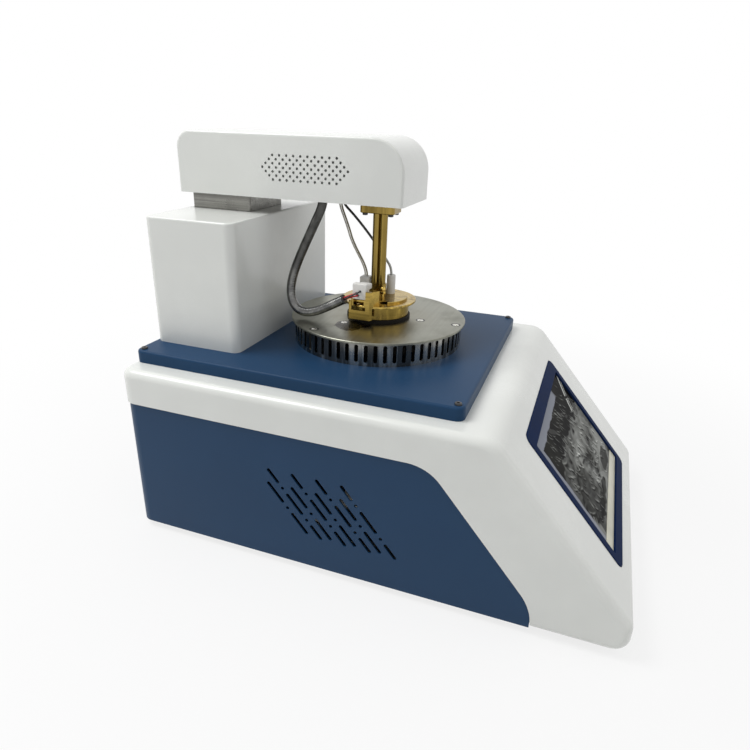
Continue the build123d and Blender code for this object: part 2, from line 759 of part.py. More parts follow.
with BuildPart() as touch_screen:
    with BuildSketch(slope_plane(SCREEN_DOWN, -BEZEL_RECESS - GLASS_THICK)):
        lap = 2 * SCREEN_LAP
        RectangleRounded(SCREEN_WIDTH + lap, SCREEN_HEIGHT + lap, SCREEN_LAP - CLEARANCE)
    extrude(amount=GLASS_THICK)

MODULE_BACK = BEZEL_RECESS + GLASS_THICK + MODULE_THICK
BOARD_FRONT = MODULE_BACK + STANDOFF

with BuildPart() as display_module:
    with BuildSketch(slope_plane(SCREEN_DOWN, -MODULE_BACK)):
        Rectangle(SCREEN_WIDTH + 2, SCREEN_HEIGHT + 2)
    extrude(amount=MODULE_THICK)
    with BuildSketch(slope_plane(SCREEN_DOWN, -BOARD_FRONT)):
        with GridLocations(SCREEN_WIDTH - 30, SCREEN_HEIGHT - 26, 2, 2):
            RegularPolygon(3.2, 6)
    extrude(amount=STANDOFF)

with BuildPart() as control_board:
    with BuildSketch(slope_plane(SCREEN_DOWN, -BOARD_FRONT)):
        Rectangle(SCREEN_WIDTH - 18, SCREEN_HEIGHT - 14)
    extrude(amount=-1.6)
    with BuildSketch(slope_plane(SCREEN_DOWN, -BOARD_FRONT - 1.6)):
        with Locations((-55, 30), (-55, -30)):
            Rectangle(34, 22)
    extrude(amount=-9)
    with BuildSketch(slope_plane(SCREEN_DOWN, -BOARD_FRONT - 1.6)):
        with GridLocations(0, 12, 1, 6):
            Rectangle(44, 3)
    extrude(amount=-14)
    with BuildSketch(slope_plane(SCREEN_DOWN, -BOARD_FRONT - 1.6)):
        with Locations((60, 25), (60, -8), (60, -34)):
            Circle(6)
    extrude(amount=-12)

# ================================================================ deck
with BuildPart() as deck_plate:
    with BuildSketch(level(HOUSING_TOP)):
        with Locations((0, DECK_Y)):
            RectangleRounded(DECK_WIDTH, DECK_LENGTH, DECK_CORNER)
    extrude(amount=DECK_THICKNESS)
    fillet(deck_plate.faces().sort_by(Axis.Z)[-1].edges(), DECK_EDGE)
    with BuildSketch(level(HOUSING_TOP)):
        with Locations((0, DECK_Y)):
            rim = 2 * WALL
            RectangleRounded(DECK_WIDTH - rim, DECK_LENGTH - rim, DECK_CORNER - WALL)
        with Locations(*deck_screw_places()):
            Circle(5, mode=Mode.SUBTRACT)
    extrude(amount=DECK_THICKNESS - DECK_SHEET, mode=Mode.SUBTRACT)
    with BuildSketch(level(HOUSING_TOP)):
        with Locations((0, HEATER_Y)):
            Circle(DECK_HOLE)
        with Locations(*deck_screw_places()):
            Circle(SCREW_SHANK + CLEARANCE)
        with Locations((70, (COLUMN_FRONT + COLUMN_REAR) / 2)):
            SlotOverall(40, 16)
    extrude(amount=DECK_THICKNESS, mode=Mode.SUBTRACT)

with BuildPart() as deck_screws:
    for place in deck_screw_places():
        with Locations((place[0], place[1], DECK_TOP)):
            Cylinder(3.2, 1.8, align=(Align.CENTER, Align.CENTER, Align.MIN))
            Cylinder(SCREW_SHANK, DECK_THICKNESS + 5, align=(Align.CENTER, Align.CENTER, Align.MAX))
    chamfer(deck_screws.faces().group_by(Axis.Z)[-1].edges(), 0.5)

# ================================================================ heater and cup
with BuildPart() as guard_slot:
    with BuildSketch(facing_right(GUARD_RADIUS - 3 * GUARD_WALL)):
        with Locations((0, DECK_TOP + GUARD_HEIGHT / 2 + 1.0)):
            add(slot(GUARD_SLOT[0], GUARD_SLOT[1], 90))
    extrude(amount=6 * GUARD_WALL)

with BuildPart() as guard_ring:
    with BuildSketch(level(DECK_TOP)):
        with Locations((0, HEATER_Y)):
            Circle(GUARD_RADIUS)
            Circle(GUARD_RADIUS - GUARD_WALL, mode=Mode.SUBTRACT)
    extrude(amount=GUARD_HEIGHT)
    with Locations((0, HEATER_Y, 0)):
        with PolarLocations(0, GUARD_SLOTS):
            add(guard_slot.part, mode=Mode.SUBTRACT)

with BuildPart() as countersunk_screw:
    with BuildSketch(Plane.XZ):
        with BuildLine():
            Polyline(
                (0, 0),
                (SCREW_HEAD, 0),
                (SCREW_SHANK, SCREW_SHANK - SCREW_HEAD),
                (SCREW_SHANK, -7),
                (0, -7),
                close=True,
            )
        make_face()
    revolve(axis=Axis.Z)

PLATE_SCREWS = polar_places(OUTER_SCREWS, SCREW_ANGLES, HEATER_Y)
PLATE_SCREWS += polar_places(INNER_SCREWS, SCREW_ANGLES, HEATER_Y)

with BuildPart() as heater_top_plate:
    with BuildSketch(level(PLATE_BOTTOM)):
        with Locations((0, HEATER_Y)):
            Circle(PLATE_RADIUS)
            Circle(CUP_OUTER + CUP_FLANGE + 2 * CLEARANCE, mode=Mode.SUBTRACT)
    extrude(amount=PLATE_THICK)
    chamfer(heater_top_plate.faces().sort_by(Axis.Z)[-1].edges(), 0.4)
    with Locations(*[(x, y, PLATE_TOP) for x, y in PLATE_SCREWS]):
        CounterSinkHole(SCREW_SHANK + 0.1, SCREW_HEAD + 0.1, counter_sink_angle=90)

with BuildPart() as top_plate_screws:
    with Locations(*[(x, y, PLATE_TOP) for x, y in PLATE_SCREWS]):
        add(countersunk_screw.part)

with BuildPart() as plate_pillars:
    with BuildSketch(level(DECK_TOP)):
        with Locations(*polar_places(OUTER_SCREWS, SCREW_ANGLES, HEATER_Y)):
            Circle(PILLAR_RADIUS)
    extrude(amount=GUARD_HEIGHT)
    with BuildSketch(level(PLATE_BOTTOM)):
        with Locations(*polar_places(OUTER_SCREWS, SCREW_ANGLES, HEATER_Y)):
            Circle(SCREW_SHANK)
    extrude(amount=-7, mode=Mode.SUBTRACT)

CUP_BOTTOM = CUP_INSIDE - CUP_WALL
WELL_RADIUS = CUP_OUTER + WELL_GAP
WELL_BOTTOM = CUP_BOTTOM - 1.5
BLOCK_BOTTOM = WELL_BOTTOM - BLOCK_FLOOR
FLANGE_UNDER = PLATE_BOTTOM - BLOCK_FLANGE_THICK

with BuildPart() as heater_block:
    add(
        turned(
            (
                (0, BLOCK_BOTTOM),
                (BLOCK_RADIUS, BLOCK_BOTTOM),
                (BLOCK_RADIUS, FLANGE_UNDER),
                (BLOCK_FLANGE, FLANGE_UNDER),
                (BLOCK_FLANGE, PLATE_BOTTOM),
                (WELL_RADIUS, PLATE_BOTTOM),
                (WELL_RADIUS, WELL_BOTTOM),
                (0, WELL_BOTTOM),
            ),
            HEATER_Y,
        )
    )
    with BuildSketch(level(PLATE_BOTTOM)):
        with Locations(*polar_places(INNER_SCREWS, SCREW_ANGLES, HEATER_Y)):
            Circle(SCREW_SHANK)
    extrude(amount=-BLOCK_FLANGE_THICK, mode=Mode.SUBTRACT)

BAND_INNER = BLOCK_RADIUS + 0.2
BAND_OUTER = BAND_INNER + BAND_THICK

with BuildPart() as band_heater:
    with BuildSketch(level(BLOCK_BOTTOM + 3)):
        with Locations((0, HEATER_Y)):
            Circle(BAND_OUTER)
            Circle(BAND_INNER, mode=Mode.SUBTRACT)
        with Locations((0, HEATER_Y + BLOCK_RADIUS)):
            Rectangle(6, 16, mode=Mode.SUBTRACT)
        for side in (-1, 1):
            with Locations((side * 4.2, HEATER_Y + BAND_OUTER + 2.0)):
                Rectangle(2.4, 7.6)
    extrude(amount=BAND_HEIGHT)

with BuildPart() as insulation_sleeve:
    with BuildSketch(level(BLOCK_BOTTOM - 2)):
        with Locations((0, HEATER_Y)):
            Circle(BAND_OUTER + 0.3 + INSULATION_THICK)
            Circle(BAND_OUTER + 0.3, mode=Mode.SUBTRACT)
        with Locations((0, HEATER_Y + BAND_OUTER + 2)):
            Rectangle(12, 9, mode=Mode.SUBTRACT)
    extrude(amount=FLANGE_UNDER - BLOCK_BOTTOM + 2)

CUP_STEP = PLATE_BOTTOM + 1.8

with BuildPart() as test_cup:
    add(
        turned(
            (
                (0, CUP_BOTTOM),
                (CUP_OUTER - 1.5, CUP_BOTTOM),
                (CUP_OUTER, CUP_BOTTOM + 1.5),
                (CUP_OUTER, PLATE_BOTTOM),
                (CUP_OUTER + CUP_FLANGE, PLATE_BOTTOM),
                (CUP_OUTER + CUP_FLANGE, CUP_STEP),
                (CUP_OUTER, CUP_STEP),
                (CUP_OUTER, CUP_RIM),
                (CUP_RADIUS, CUP_RIM),
                (CUP_RADIUS, CUP_INSIDE),
                (0, CUP_INSIDE),
            ),
            HEATER_Y,
        )
    )

with BuildPart() as cup_seat_ring:
    with BuildSketch(level(PLATE_TOP)):
        with Locations((0, HEATER_Y)):
            Circle(SEAT_RADIUS)
            Circle(CUP_OUTER + 0.2, mode=Mode.SUBTRACT)
    extrude(amount=SEAT_HEIGHT)
    chamfer(cup_seat_ring.edges().filter_by(GeomType.CIRCLE).group_by(Axis.Z)[-1], 0.5)

# ================================================================ lid
PORT_PLACE = (
    PORT_REACH * cos(radians(PORT_ANGLE)),
    SHUTTER_Y + PORT_REACH * sin(radians(PORT_ANGLE)),
)


def lid_holes():
    """Openings that the lid and its cover share."""
    with Locations((0, STIRRER_Y)):
        Circle(BUSH_RADIUS + RUNNING_FIT)
    with Locations(PROBE_PLACE):
        Circle(PROBE_RADIUS + 0.1)
    with Locations(DETECTOR_PLACE):
        Circle(2.6)
    with Locations(PORT_PLACE):
        Rectangle(PORT_SIZE[0], PORT_SIZE[1])


with BuildPart() as lid:
    add(
        turned(
            (
                (0, LID_BOTTOM),
                (CUP_OUTER + CLEARANCE, LID_BOTTOM),
                (CUP_OUTER + CLEARANCE, SKIRT_BOTTOM),
                (SKIRT_RADIUS, SKIRT_BOTTOM),
                (SKIRT_RADIUS, LID_BOTTOM),
                (LID_RADIUS - 0.4, LID_BOTTOM),
                (LID_RADIUS, LID_BOTTOM + 0.4),
                (LID_RADIUS, LID_TOP - 0.4),
                (LID_RADIUS - 0.4, LID_TOP),
                (0, LID_TOP),
            ),
            HEATER_Y,
        )
    )
    with BuildSketch(level(LID_BOTTOM)):
        lid_holes()
        with Locations((0, SHUTTER_Y)):
            Circle(SHAFT_RADIUS + RUNNING_FIT)
    extrude(amount=LID_THICK, mode=Mode.SUBTRACT)

with BuildPart() as lid_cover:
    cavity = COVER_HEIGHT - COVER_SHEET
    add(
        turned(
            (
                (0, LID_TOP + cavity),
                (COVER_RADIUS - COVER_RIM, LID_TOP + cavity),
                (COVER_RADIUS - COVER_RIM, LID_TOP),
                (COVER_RADIUS, LID_TOP),
                (COVER_RADIUS, COVER_TOP - 0.5),
                (COVER_RADIUS - 0.5, COVER_TOP),
                (0, COVER_TOP),
            ),
            HEATER_Y,
        )
    )
    with BuildSketch(level(LID_TOP)):
        lid_holes()
        with Locations((0, SHUTTER_Y)):
            Circle(SHAFT_RADIUS + RUNNING_FIT)
        with Locations((-23.5, 25.9)):
            Rectangle(7.0, 8.0, rotation=27)
    extrude(amount=COVER_HEIGHT, mode=Mode.SUBTRACT)

with BuildPart() as column_foot:
    with BuildSketch(level(COVER_TOP)):
        with Locations((0, STIRRER_Y), (0, SHUTTER_Y)):
            RegularPolygon(5.0, 6, major_radius=False)
    extrude(amount=NUT_HEIGHT)
    with BuildSketch(level(COVER_TOP + NUT_HEIGHT)):
        with Locations((0, (STIRRER_Y + SHUTTER_Y) / 2)):
            SlotCenterToCenter(SHAFT_PITCH, 2 * HUB_RADIUS, rotation=90)
    extrude(amount=HUB_HEIGHT)
    with BuildSketch(Plane.YZ.offset(HUB_RADIUS - 1)):
        with Locations((STIRRER_Y, COVER_TOP + NUT_HEIGHT + HUB_HEIGHT / 2)):
            RegularPolygon(2.4, 6)
    extrude(amount=3.0)
    with BuildSketch(level(COVER_TOP)):
        with Locations((0, STIRRER_Y), (0, SHUTTER_Y)):
            Circle(BUSH_RADIUS + RUNNING_FIT)
    extrude(amount=NUT_HEIGHT + HUB_HEIGHT, mode=Mode.SUBTRACT)

with BuildPart() as head_column:
    with BuildSketch(level(FOOT_TOP)):
        with Locations((0, STIRRER_Y), (0, SHUTTER_Y)):
            Circle(TUBE_RADIUS)
    extrude(amount=TUBE_LENGTH)
    with BuildSketch(level(FOOT_TOP)):
        with Locations((0, STIRRER_Y), (0, SHUTTER_Y)):
            Circle(TUBE_BORE)
    extrude(amount=TUBE_LENGTH, mode=Mode.SUBTRACT)

HEAD_FLANGE_Y = (STIRRER_Y + SHUTTER_Y) / 2

with BuildPart() as head_flange:
    with BuildSketch(level(HEAD_FLANGE_BOTTOM)):
        with Locations((0, HEAD_FLANGE_Y)):
            RectangleRounded(HEAD_FLANGE[0], HEAD_FLANGE[1], 3)
    extrude(amount=HEAD_FLANGE[2])
    chamfer(head_flange.faces().sort_by(Axis.Z)[0].edges(), 0.6)
    with BuildSketch(level(HEAD_FLANGE_BOTTOM)):
        with Locations((0, STIRRER_Y), (0, SHUTTER_Y)):
            Circle(BUSH_RADIUS + RUNNING_FIT)
        with Locations((0, HEAD_FLANGE_Y)):
            with GridLocations(17, 27, 2, 2):
                Circle(SCREW_SHANK)
    extrude(amount=HEAD_FLANGE[2], mode=Mode.SUBTRACT)

with BuildPart() as head_screws:
    for sx in (-1, 1):
        for sy in (-1, 1):
            with Locations((sx * 8.5, HEAD_FLANGE_Y + sy * 13.5, HEAD_FLANGE_BOTTOM)):
                Cylinder(2.7, 2.4, align=(Align.CENTER, Align.CENTER, Align.MAX))
                Cylinder(SCREW_SHANK, HEAD_FLANGE[2], align=(Align.CENTER, Align.CENTER, Align.MIN))

with BuildPart() as shaft_bushes:
    for axis_y, bottom, top in (
        (STIRRER_Y, LID_BOTTOM - 0.2, COVER_TOP + 8.0),
        (SHUTTER_Y, COVER_TOP, COVER_TOP + 8.0),
        (STIRRER_Y, HEAD_FLANGE_BOTTOM + 2.0, ARM_BOTTOM),
        (SHUTTER_Y, HEAD_FLANGE_BOTTOM + 2.0, ARM_BOTTOM),
    ):
        with BuildSketch(level(bottom)):
            with Locations((0, axis_y)):
                Circle(BUSH_RADIUS)
                Circle(SHAFT_RADIUS + RUNNING_FIT, mode=Mode.SUBTRACT)
        extrude(amount=top - bottom)

with BuildPart() as temperature_probe:
    with BuildSketch(level(CUP_INSIDE + 22.0)):
        with Locations(PROBE_PLACE):
            Circle(PROBE_RADIUS)
    extrude(amount=FOOT_TOP - CUP_INSIDE - 22.0)
    with BuildSketch(level(COVER_TOP)):
        with Locations(PROBE_PLACE):
            Circle(3.6)
    extrude(amount=3.0)
    with BuildSketch(level(FOOT_TOP)):
        with Locations(PROBE_PLACE):
            Circle(PROBE_HEAD)
    extrude(amount=PROBE_HEAD_HEIGHT)
    chamfer(temperature_probe.edges().filter_by(GeomType.CIRCLE).group_by(Axis.Z)[-1], 0.8)

with BuildPart() as flash_detector:
    with BuildSketch(level(LID_BOTTOM - 8.0)):
        with Locations(DETECTOR_PLACE):
            Circle(2.5)
    extrude(amount=COVER_TOP - LID_BOTTOM + 8.0)
    with BuildSketch(level(COVER_TOP)):
        with Locations(DETECTOR_PLACE):
            Circle(DETECTOR_RADIUS)
    extrude(amount=16.5)
    chamfer(flash_detector.edges().filter_by(GeomType.CIRCLE).group_by(Axis.Z)[-1], 0.8)
    with BuildSketch(level(COVER_TOP + 16.5)):
        with Locations(DETECTOR_PLACE):
            Circle(2.6)
    extrude(amount=2.2, taper=14)

# ================================================================ igniter
CHEEK_GAP = BARREL_LENGTH / 2 + CLEARANCE
CHEEK_THICK = 2.2
CHEEK_START = BRACKET_X + 1.0
CHEEK_TOP = BARREL_Z + BARREL_RADIUS + CLEARANCE
CHEEK_END = -COVER_RADIUS - 0.6

with BuildPart() as igniter_bracket:
    plate_middle = (BRACKET_Y[0] + BRACKET_Y[1]) / 2
    with BuildSketch(facing_right(BRACKET_X)):
        with BuildLine():
            Polyline(
                (BRACKET_Y[0], BRACKET_BOTTOM),
                (BRACKET_Y[0], BRACKET_TOP),
                (BRACKET_Y[0] + 4.4, BRACKET_TOP),
                (BRACKET_Y[0] + 4.4, 237.5),
                (BRACKET_Y[1] - 2.8, 237.5),
                (BRACKET_Y[1] - 2.8, 247.4),
                (BRACKET_Y[1], 247.4),
                (BRACKET_Y[1], BRACKET_BOTTOM),
                close=True,
            )
        make_face()
    extrude(amount=BRACKET_THICK)
    with BuildSketch(level(LID_TOP)):
        with BuildLine():
            Polyline(
                (BRACKET_X, BRACKET_Y[0]),
                (BRACKET_X + 11.2, BRACKET_Y[0] - 6.4),
                (BRACKET_X + 12.7, BRACKET_Y[0] - 3.8),
                (BRACKET_X + 3.0, BRACKET_Y[0] + 1.8),
                close=True,
            )
        make_face()
    extrude(amount=BRACKET_TOP - LID_TOP)
    with BuildSketch(level(BRACKET_BOTTOM)):
        with BuildLine():
            Polyline(
                (BRACKET_X, BRACKET_Y[0]),
                (BRACKET_X + 3.4, BRACKET_Y[0] - 1.9),
                (BRACKET_X + 3.4, BRACKET_Y[0] + 1.6),
                (BRACKET_X + 3.0, BRACKET_Y[0] + 1.8),
                close=True,
            )
        make_face()
    extrude(amount=LID_TOP - BRACKET_BOTTOM)
    for side in (-1, 1):
        inner = BARREL_Y + side * CHEEK_GAP + (side - 1) * CHEEK_THICK / 2
        with BuildSketch(facing_front(inner + CHEEK_THICK)):
            with BuildLine():
                Polyline(
                    (CHEEK_START, LID_TOP),
                    (CHEEK_END, LID_TOP),
                    (CHEEK_END, CHEEK_TOP),
                    (CHEEK_START, CHEEK_TOP),
                    close=True,
                )
            make_face()
            with Locations((BARREL_X, BARREL_Z)):
                Circle(PIVOT_PIN + RUNNING_FIT, mode=Mode.SUBTRACT)
        extrude(amount=CHEEK_THICK)

BLOCK_X = (-40.0, -32.5)

with BuildPart() as igniter_block:
    with BuildSketch(level(CHEEK_TOP)):
        with Locations(((BLOCK_X[0] + BLOCK_X[1]) / 2, BARREL_Y)):
            Rectangle(BLOCK_X[1] - BLOCK_X[0], 15.2)
    extrude(amount=FOOT_TOP + 7.0 - CHEEK_TOP)
    chamfer(igniter_block.edges().filter_by(Axis.Z), 1.2)
    chamfer(igniter_block.faces().sort_by(Axis.Z)[-1].edges(), 1.4)

RAISED = Plane(
    origin=(BARREL_X, BARREL_Y, BARREL_Z),
    x_dir=(cos(radians(IGNITER_DIP)), 0, sin(radians(IGNITER_DIP))),
    z_dir=(0, -1, 0),
)

with BuildPart() as igniter_arm:
    with BuildSketch(RAISED):
        Circle(BARREL_RADIUS)
    extrude(amount=BARREL_LENGTH / 2, both=True)
    with BuildSketch(RAISED):
        Circle(PIVOT_PIN)
    extrude(amount=BARREL_LENGTH / 2 + CHEEK_THICK, both=True)
    with BuildSketch(RAISED):
        with BuildLine():
            Polyline(
                (0, -0.4),
                (IGNITER_REACH - 0.8, -0.4),
                (IGNITER_REACH - 0.8, -IGNITER_DROP),
                (IGNITER_REACH + 0.8, -IGNITER_DROP),
                (IGNITER_REACH + 0.8, 1.4),
                (0, 1.4),
                close=True,
            )
        make_face()
    extrude(amount=0.9, both=True)

# ================================================================ stirrer, shutter and their drives
PLATE_LEVEL = ARM_BOTTOM + ARM_PLATE
GEAR_BOTTOM = PLATE_LEVEL + GEAR_LIFT
PLATFORM_BOTTOM = PLATE_LEVEL + PLATFORM_HEIGHT
PLATFORM_TOP = PLATFORM_BOTTOM + PLATFORM_THICK
SHUTTER_SHAFT_TOP = GEAR_BOTTOM + GEAR_THICK + 0.6
DRIVE_Y = SHUTTER_Y + GEAR_MODULE * (SHUTTER_TEETH + DRIVE_TEETH) / 2
COUPLING_BOTTOM = SHUTTER_SHAFT_TOP + 0.8
COUPLING_RADIUS = 5.0
LOWER_BLADES = CUP_INSIDE + 12.0
UPPER_BLADES = CUP_INSIDE + 38.0


def propeller(height, reach, blade, count):
    """Hub with tilted blades on the stirrer's axis."""
    with Locations((0, STIRRER_Y, height)):
        Cylinder(3.2, 7.0)
        with PolarLocations((reach + 1.5) / 2, count):
            Box(reach - 1.5, 1.4, blade, rotation=(45, 0, 0))


with BuildPart() as stirrer:
    with BuildSketch(level(LOWER_BLADES - 3.5)):
        with Locations((0, STIRRER_Y)):
            Circle(SHAFT_RADIUS)
    extrude(amount=COUPLING_BOTTOM + 1 - LOWER_BLADES + 3.5)
    propeller(LOWER_BLADES, 18.5, 7.0, 3)
    propeller(UPPER_BLADES, 9.5, 6.0, 3)
    with BuildSketch(level(COUPLING_BOTTOM)):
        with Locations((0, STIRRER_Y)):
            Circle(COUPLING_RADIUS)
    extrude(amount=10.0)
    chamfer(stirrer.faces().sort_by(Axis.Z)[-1].edges(), 0.5)
    with BuildSketch(level(COUPLING_BOTTOM + 10.0)):
        with Locations((0, STIRRER_Y)):
            Circle(1.5)
    extrude(amount=PLATFORM_TOP - CLEARANCE - COUPLING_BOTTOM - 10.0)

SHUTTER_LEVEL = LID_TOP + CLEARANCE


def sector(start, end, inner, outer):
    """Flat ring sector about the shutter's axis, from one angle to the other."""
    with BuildSketch() as flat:
        with BuildLine():
            outer_arc = CenterArc((0, SHUTTER_Y), outer, start, end - start)
            inner_arc = CenterArc((0, SHUTTER_Y), inner, start, end - start)
            Line(inner_arc @ 0, outer_arc @ 0)
            Line(inner_arc @ 1, outer_arc @ 1)
        make_face()
    return flat.sketch_local


with BuildPart() as shutter:
    with BuildSketch(level(LID_BOTTOM + 0.4)):
        with Locations((0, SHUTTER_Y)):
            Circle(SHAFT_RADIUS)
    extrude(amount=SHUTTER_SHAFT_TOP - LID_BOTTOM - 0.4)
    with BuildSketch(level(SHUTTER_LEVEL)):
        with Locations((0, SHUTTER_Y)):
            Circle(3.9)
    extrude(amount=SHUTTER_THICK)
    with BuildSketch(level(SHUTTER_LEVEL)):
        add(sector(150, 230, 1.0, SHUTTER_REACH))
    extrude(amount=SHUTTER_THICK)
    with BuildSketch(level(SHUTTER_LEVEL)):
        add(sector(186.5, 219.5, 12.6, 20.2))
    extrude(amount=SHUTTER_THICK, mode=Mode.SUBTRACT)


def gear_plane(axis_y, z, angle):
    """Horizontal plane centred on a gear, turned so that a tooth points along angle."""
    turn = radians(angle)
    return Plane(origin=(0, axis_y, z), x_dir=(cos(turn), sin(turn), 0), z_dir=(0, 0, 1))


with BuildPart() as shutter_gear:
    with BuildSketch(gear_plane(SHUTTER_Y, GEAR_BOTTOM, 90 + 180 / SHUTTER_TEETH)):
        with BuildLine():
            Polyline(*gear_points(GEAR_MODULE, SHUTTER_TEETH, 0.2), close=True)
        make_face()
        Circle(SHAFT_RADIUS, mode=Mode.SUBTRACT)
    extrude(amount=GEAR_THICK)

with BuildPart() as drive_sector:
    with BuildSketch(gear_plane(DRIVE_Y, GEAR_BOTTOM, -90)):
        with BuildLine():
            teeth = gear_points(GEAR_MODULE, DRIVE_TEETH, 0.2, -3, 3)
            Polyline((0, 0), *teeth, close=True)
        make_face()
        Circle(4.5)
    extrude(amount=GEAR_THICK)
    with BuildSketch(level(GEAR_BOTTOM)):
        with Locations((0, DRIVE_Y)):
            Circle(2.0)
    extrude(amount=PLATFORM_TOP - CLEARANCE - GEAR_BOTTOM)

MOTOR_POSTS = [(sx * 17.0, y) for sx in (-1, 1) for y in (STIRRER_Y - 12.0, DRIVE_Y + 11.0)]

with BuildPart() as motor_bracket:
    with BuildSketch(level(PLATFORM_BOTTOM)):
        with Locations((0, (STIRRER_Y + DRIVE_Y) / 2)):
            RectangleRounded(42, DRIVE_Y - STIRRER_Y + 33, 3)
        with Locations((0, STIRRER_Y)):
            Circle(6.0, mode=Mode.SUBTRACT)
        with Locations((0, DRIVE_Y)):
            Circle(5.0, mode=Mode.SUBTRACT)
    extrude(amount=PLATFORM_THICK)
    with BuildSketch(level(PLATE_LEVEL)):
        with Locations(*MOTOR_POSTS):
            Circle(2.5)
    extrude(amount=PLATFORM_HEIGHT)

with BuildPart() as stir_motor:
    with Locations((0, STIRRER_Y, PLATFORM_TOP)):
        Cylinder(STIR_MOTOR[0], STIR_MOTOR[1], align=(Align.CENTER, Align.CENTER, Align.MIN))
    chamfer(stir_motor.faces().sort_by(Axis.Z)[-1].edges(), 1.0)

with BuildPart() as shutter_motor:
    with BuildSketch(level(PLATFORM_TOP)):
        with Locations((0, DRIVE_Y)):
            Rectangle(SHUTTER_MOTOR[0], SHUTTER_MOTOR[0])
    extrude(amount=SHUTTER_MOTOR[1])
    chamfer(shutter_motor.edges().filter_by(Axis.Z), 2.0)


# ================================================================ arm
def arm_form(inset):
    """Solid of the arm cover, moved inwards by inset and open at the bottom."""
    top = ARM_TOP - inset
    with BuildPart() as form:
        with BuildSketch(facing_right(inset - ARM_WIDTH / 2)):
            with BuildLine():
                FilletPolyline(
                    (ARM_FRONT + inset, ARM_BOTTOM),
                    (ARM_FRONT + inset, top),
                    (ARM_REAR - inset, top),
                    (ARM_REAR - inset, ARM_BOTTOM),
                    radius=[ARM_FRONT_ROUND - inset, ARM_REAR_ROUND - inset],
                )
                Line((ARM_REAR - inset, ARM_BOTTOM), (ARM_FRONT + inset, ARM_BOTTOM))
            make_face()
        extrude(amount=ARM_WIDTH - 2 * inset)
        sides = form.faces().filter_by(Axis.X).edges()
        rim = sides.filter_by(lambda e: e.bounding_box().max.Z > ARM_BOTTOM + 1)
        fillet(rim, ARM_EDGE - inset)
    return form.part


with BuildPart() as arm_cover:
    add(arm_form(0.0))
    add(arm_form(ARM_WALL), mode=Mode.SUBTRACT)
    with BuildSketch(facing_right(-ARM_WIDTH / 2)):
        for row, count in enumerate(GRILLE_ROWS):
            z = GRILLE_Z + (row - (len(GRILLE_ROWS) - 1) / 2) * GRILLE_ROW_PITCH
            with Locations((GRILLE_Y, z)):
                with GridLocations(GRILLE_PITCH, 1, count, 1):
                    RegularPolygon(GRILLE_HOLE, 8)
    extrude(amount=2 * ARM_WALL, mode=Mode.SUBTRACT)

ARM_MIDDLE = (ARM_FRONT + ARM_REAR) / 2
PLATE_GAP = ARM_WALL + 0.2

CABLE_PLACES = (
    (HOSE_POINTS[0], HOSE_RADIUS),
    (SENSOR_POINTS[0], SENSOR_WIRE_SPREAD + SENSOR_WIRE_RADIUS),
    (DETECTOR_POINTS[0], DETECTOR_CABLE_RADIUS),
)

with BuildPart() as arm_base_plate:
    with BuildSketch(level(ARM_BOTTOM)):
        with Locations((0, ARM_MIDDLE)):
            length = ARM_REAR - ARM_FRONT - 2 * PLATE_GAP
            RectangleRounded(ARM_WIDTH - 2 * PLATE_GAP, length, 2.0)
        with Locations((0, STIRRER_Y), (0, SHUTTER_Y)):
            Circle(TUBE_BORE, mode=Mode.SUBTRACT)
        for place, radius in CABLE_PLACES:
            with Locations((place[0], place[1])):
                Circle(radius + CLEARANCE, mode=Mode.SUBTRACT)
    extrude(amount=ARM_PLATE)

# ================================================================ column and lift
SLEEVE_MIDDLE = (SLEEVE_Y[0] + SLEEVE_Y[1]) / 2
SLEEVE_DEPTH = SLEEVE_Y[1] - SLEEVE_Y[0]
SLEEVE_BOTTOM = DECK_TOP + SLEEVE_LIFT

with BuildPart() as column_cover:
    column_y = (COLUMN_FRONT + COLUMN_REAR) / 2
    with BuildSketch(level(DECK_TOP)):
        with Locations((0, column_y)):
            RectangleRounded(COLUMN_WIDTH, COLUMN_REAR - COLUMN_FRONT, COLUMN_CORNER)
    extrude(amount=COLUMN_TOP - DECK_TOP)
    fillet(column_cover.faces().sort_by(Axis.Z)[-1].edges(), COLUMN_EDGE)
    with BuildSketch(level(DECK_TOP)):
        with Locations((0, column_y)):
            rim = 2 * COLUMN_WALL
            depth = COLUMN_REAR - COLUMN_FRONT - rim
            RectangleRounded(COLUMN_WIDTH - rim, depth, COLUMN_CORNER - COLUMN_WALL)
    extrude(amount=COLUMN_TOP - DECK_TOP - COLUMN_WALL, mode=Mode.SUBTRACT)
    with BuildSketch(level(COLUMN_TOP)):
        with Locations((0, SLEEVE_MIDDLE)):
            gap = 2 * SLEEVE_GAP
            RectangleRounded(SLEEVE_WIDTH + gap, SLEEVE_DEPTH + gap, SLEEVE_CORNER + SLEEVE_GAP)
    extrude(amount=-2 * COLUMN_WALL, mode=Mode.SUBTRACT)

with BuildPart() as lift_sleeve:
    with BuildSketch(level(SLEEVE_BOTTOM)):
        with Locations((0, SLEEVE_MIDDLE)):
            RectangleRounded(SLEEVE_WIDTH, SLEEVE_DEPTH, SLEEVE_CORNER)
            wall = 2 * SLEEVE_WALL
            inner = SLEEVE_CORNER - SLEEVE_WALL
            RectangleRounded(SLEEVE_WIDTH - wall, SLEEVE_DEPTH - wall, inner, mode=Mode.SUBTRACT)
    extrude(amount=ARM_BOTTOM - SLEEVE_BOTTOM)

BLOCK_REAR = SLEEVE_Y[1] - SLEEVE_WALL
ROD_Y = BLOCK_REAR - ROD_WALL - ROD_RADIUS
BLOCK_FRONT = ROD_Y - ROD_RADIUS - BEARING_WALL

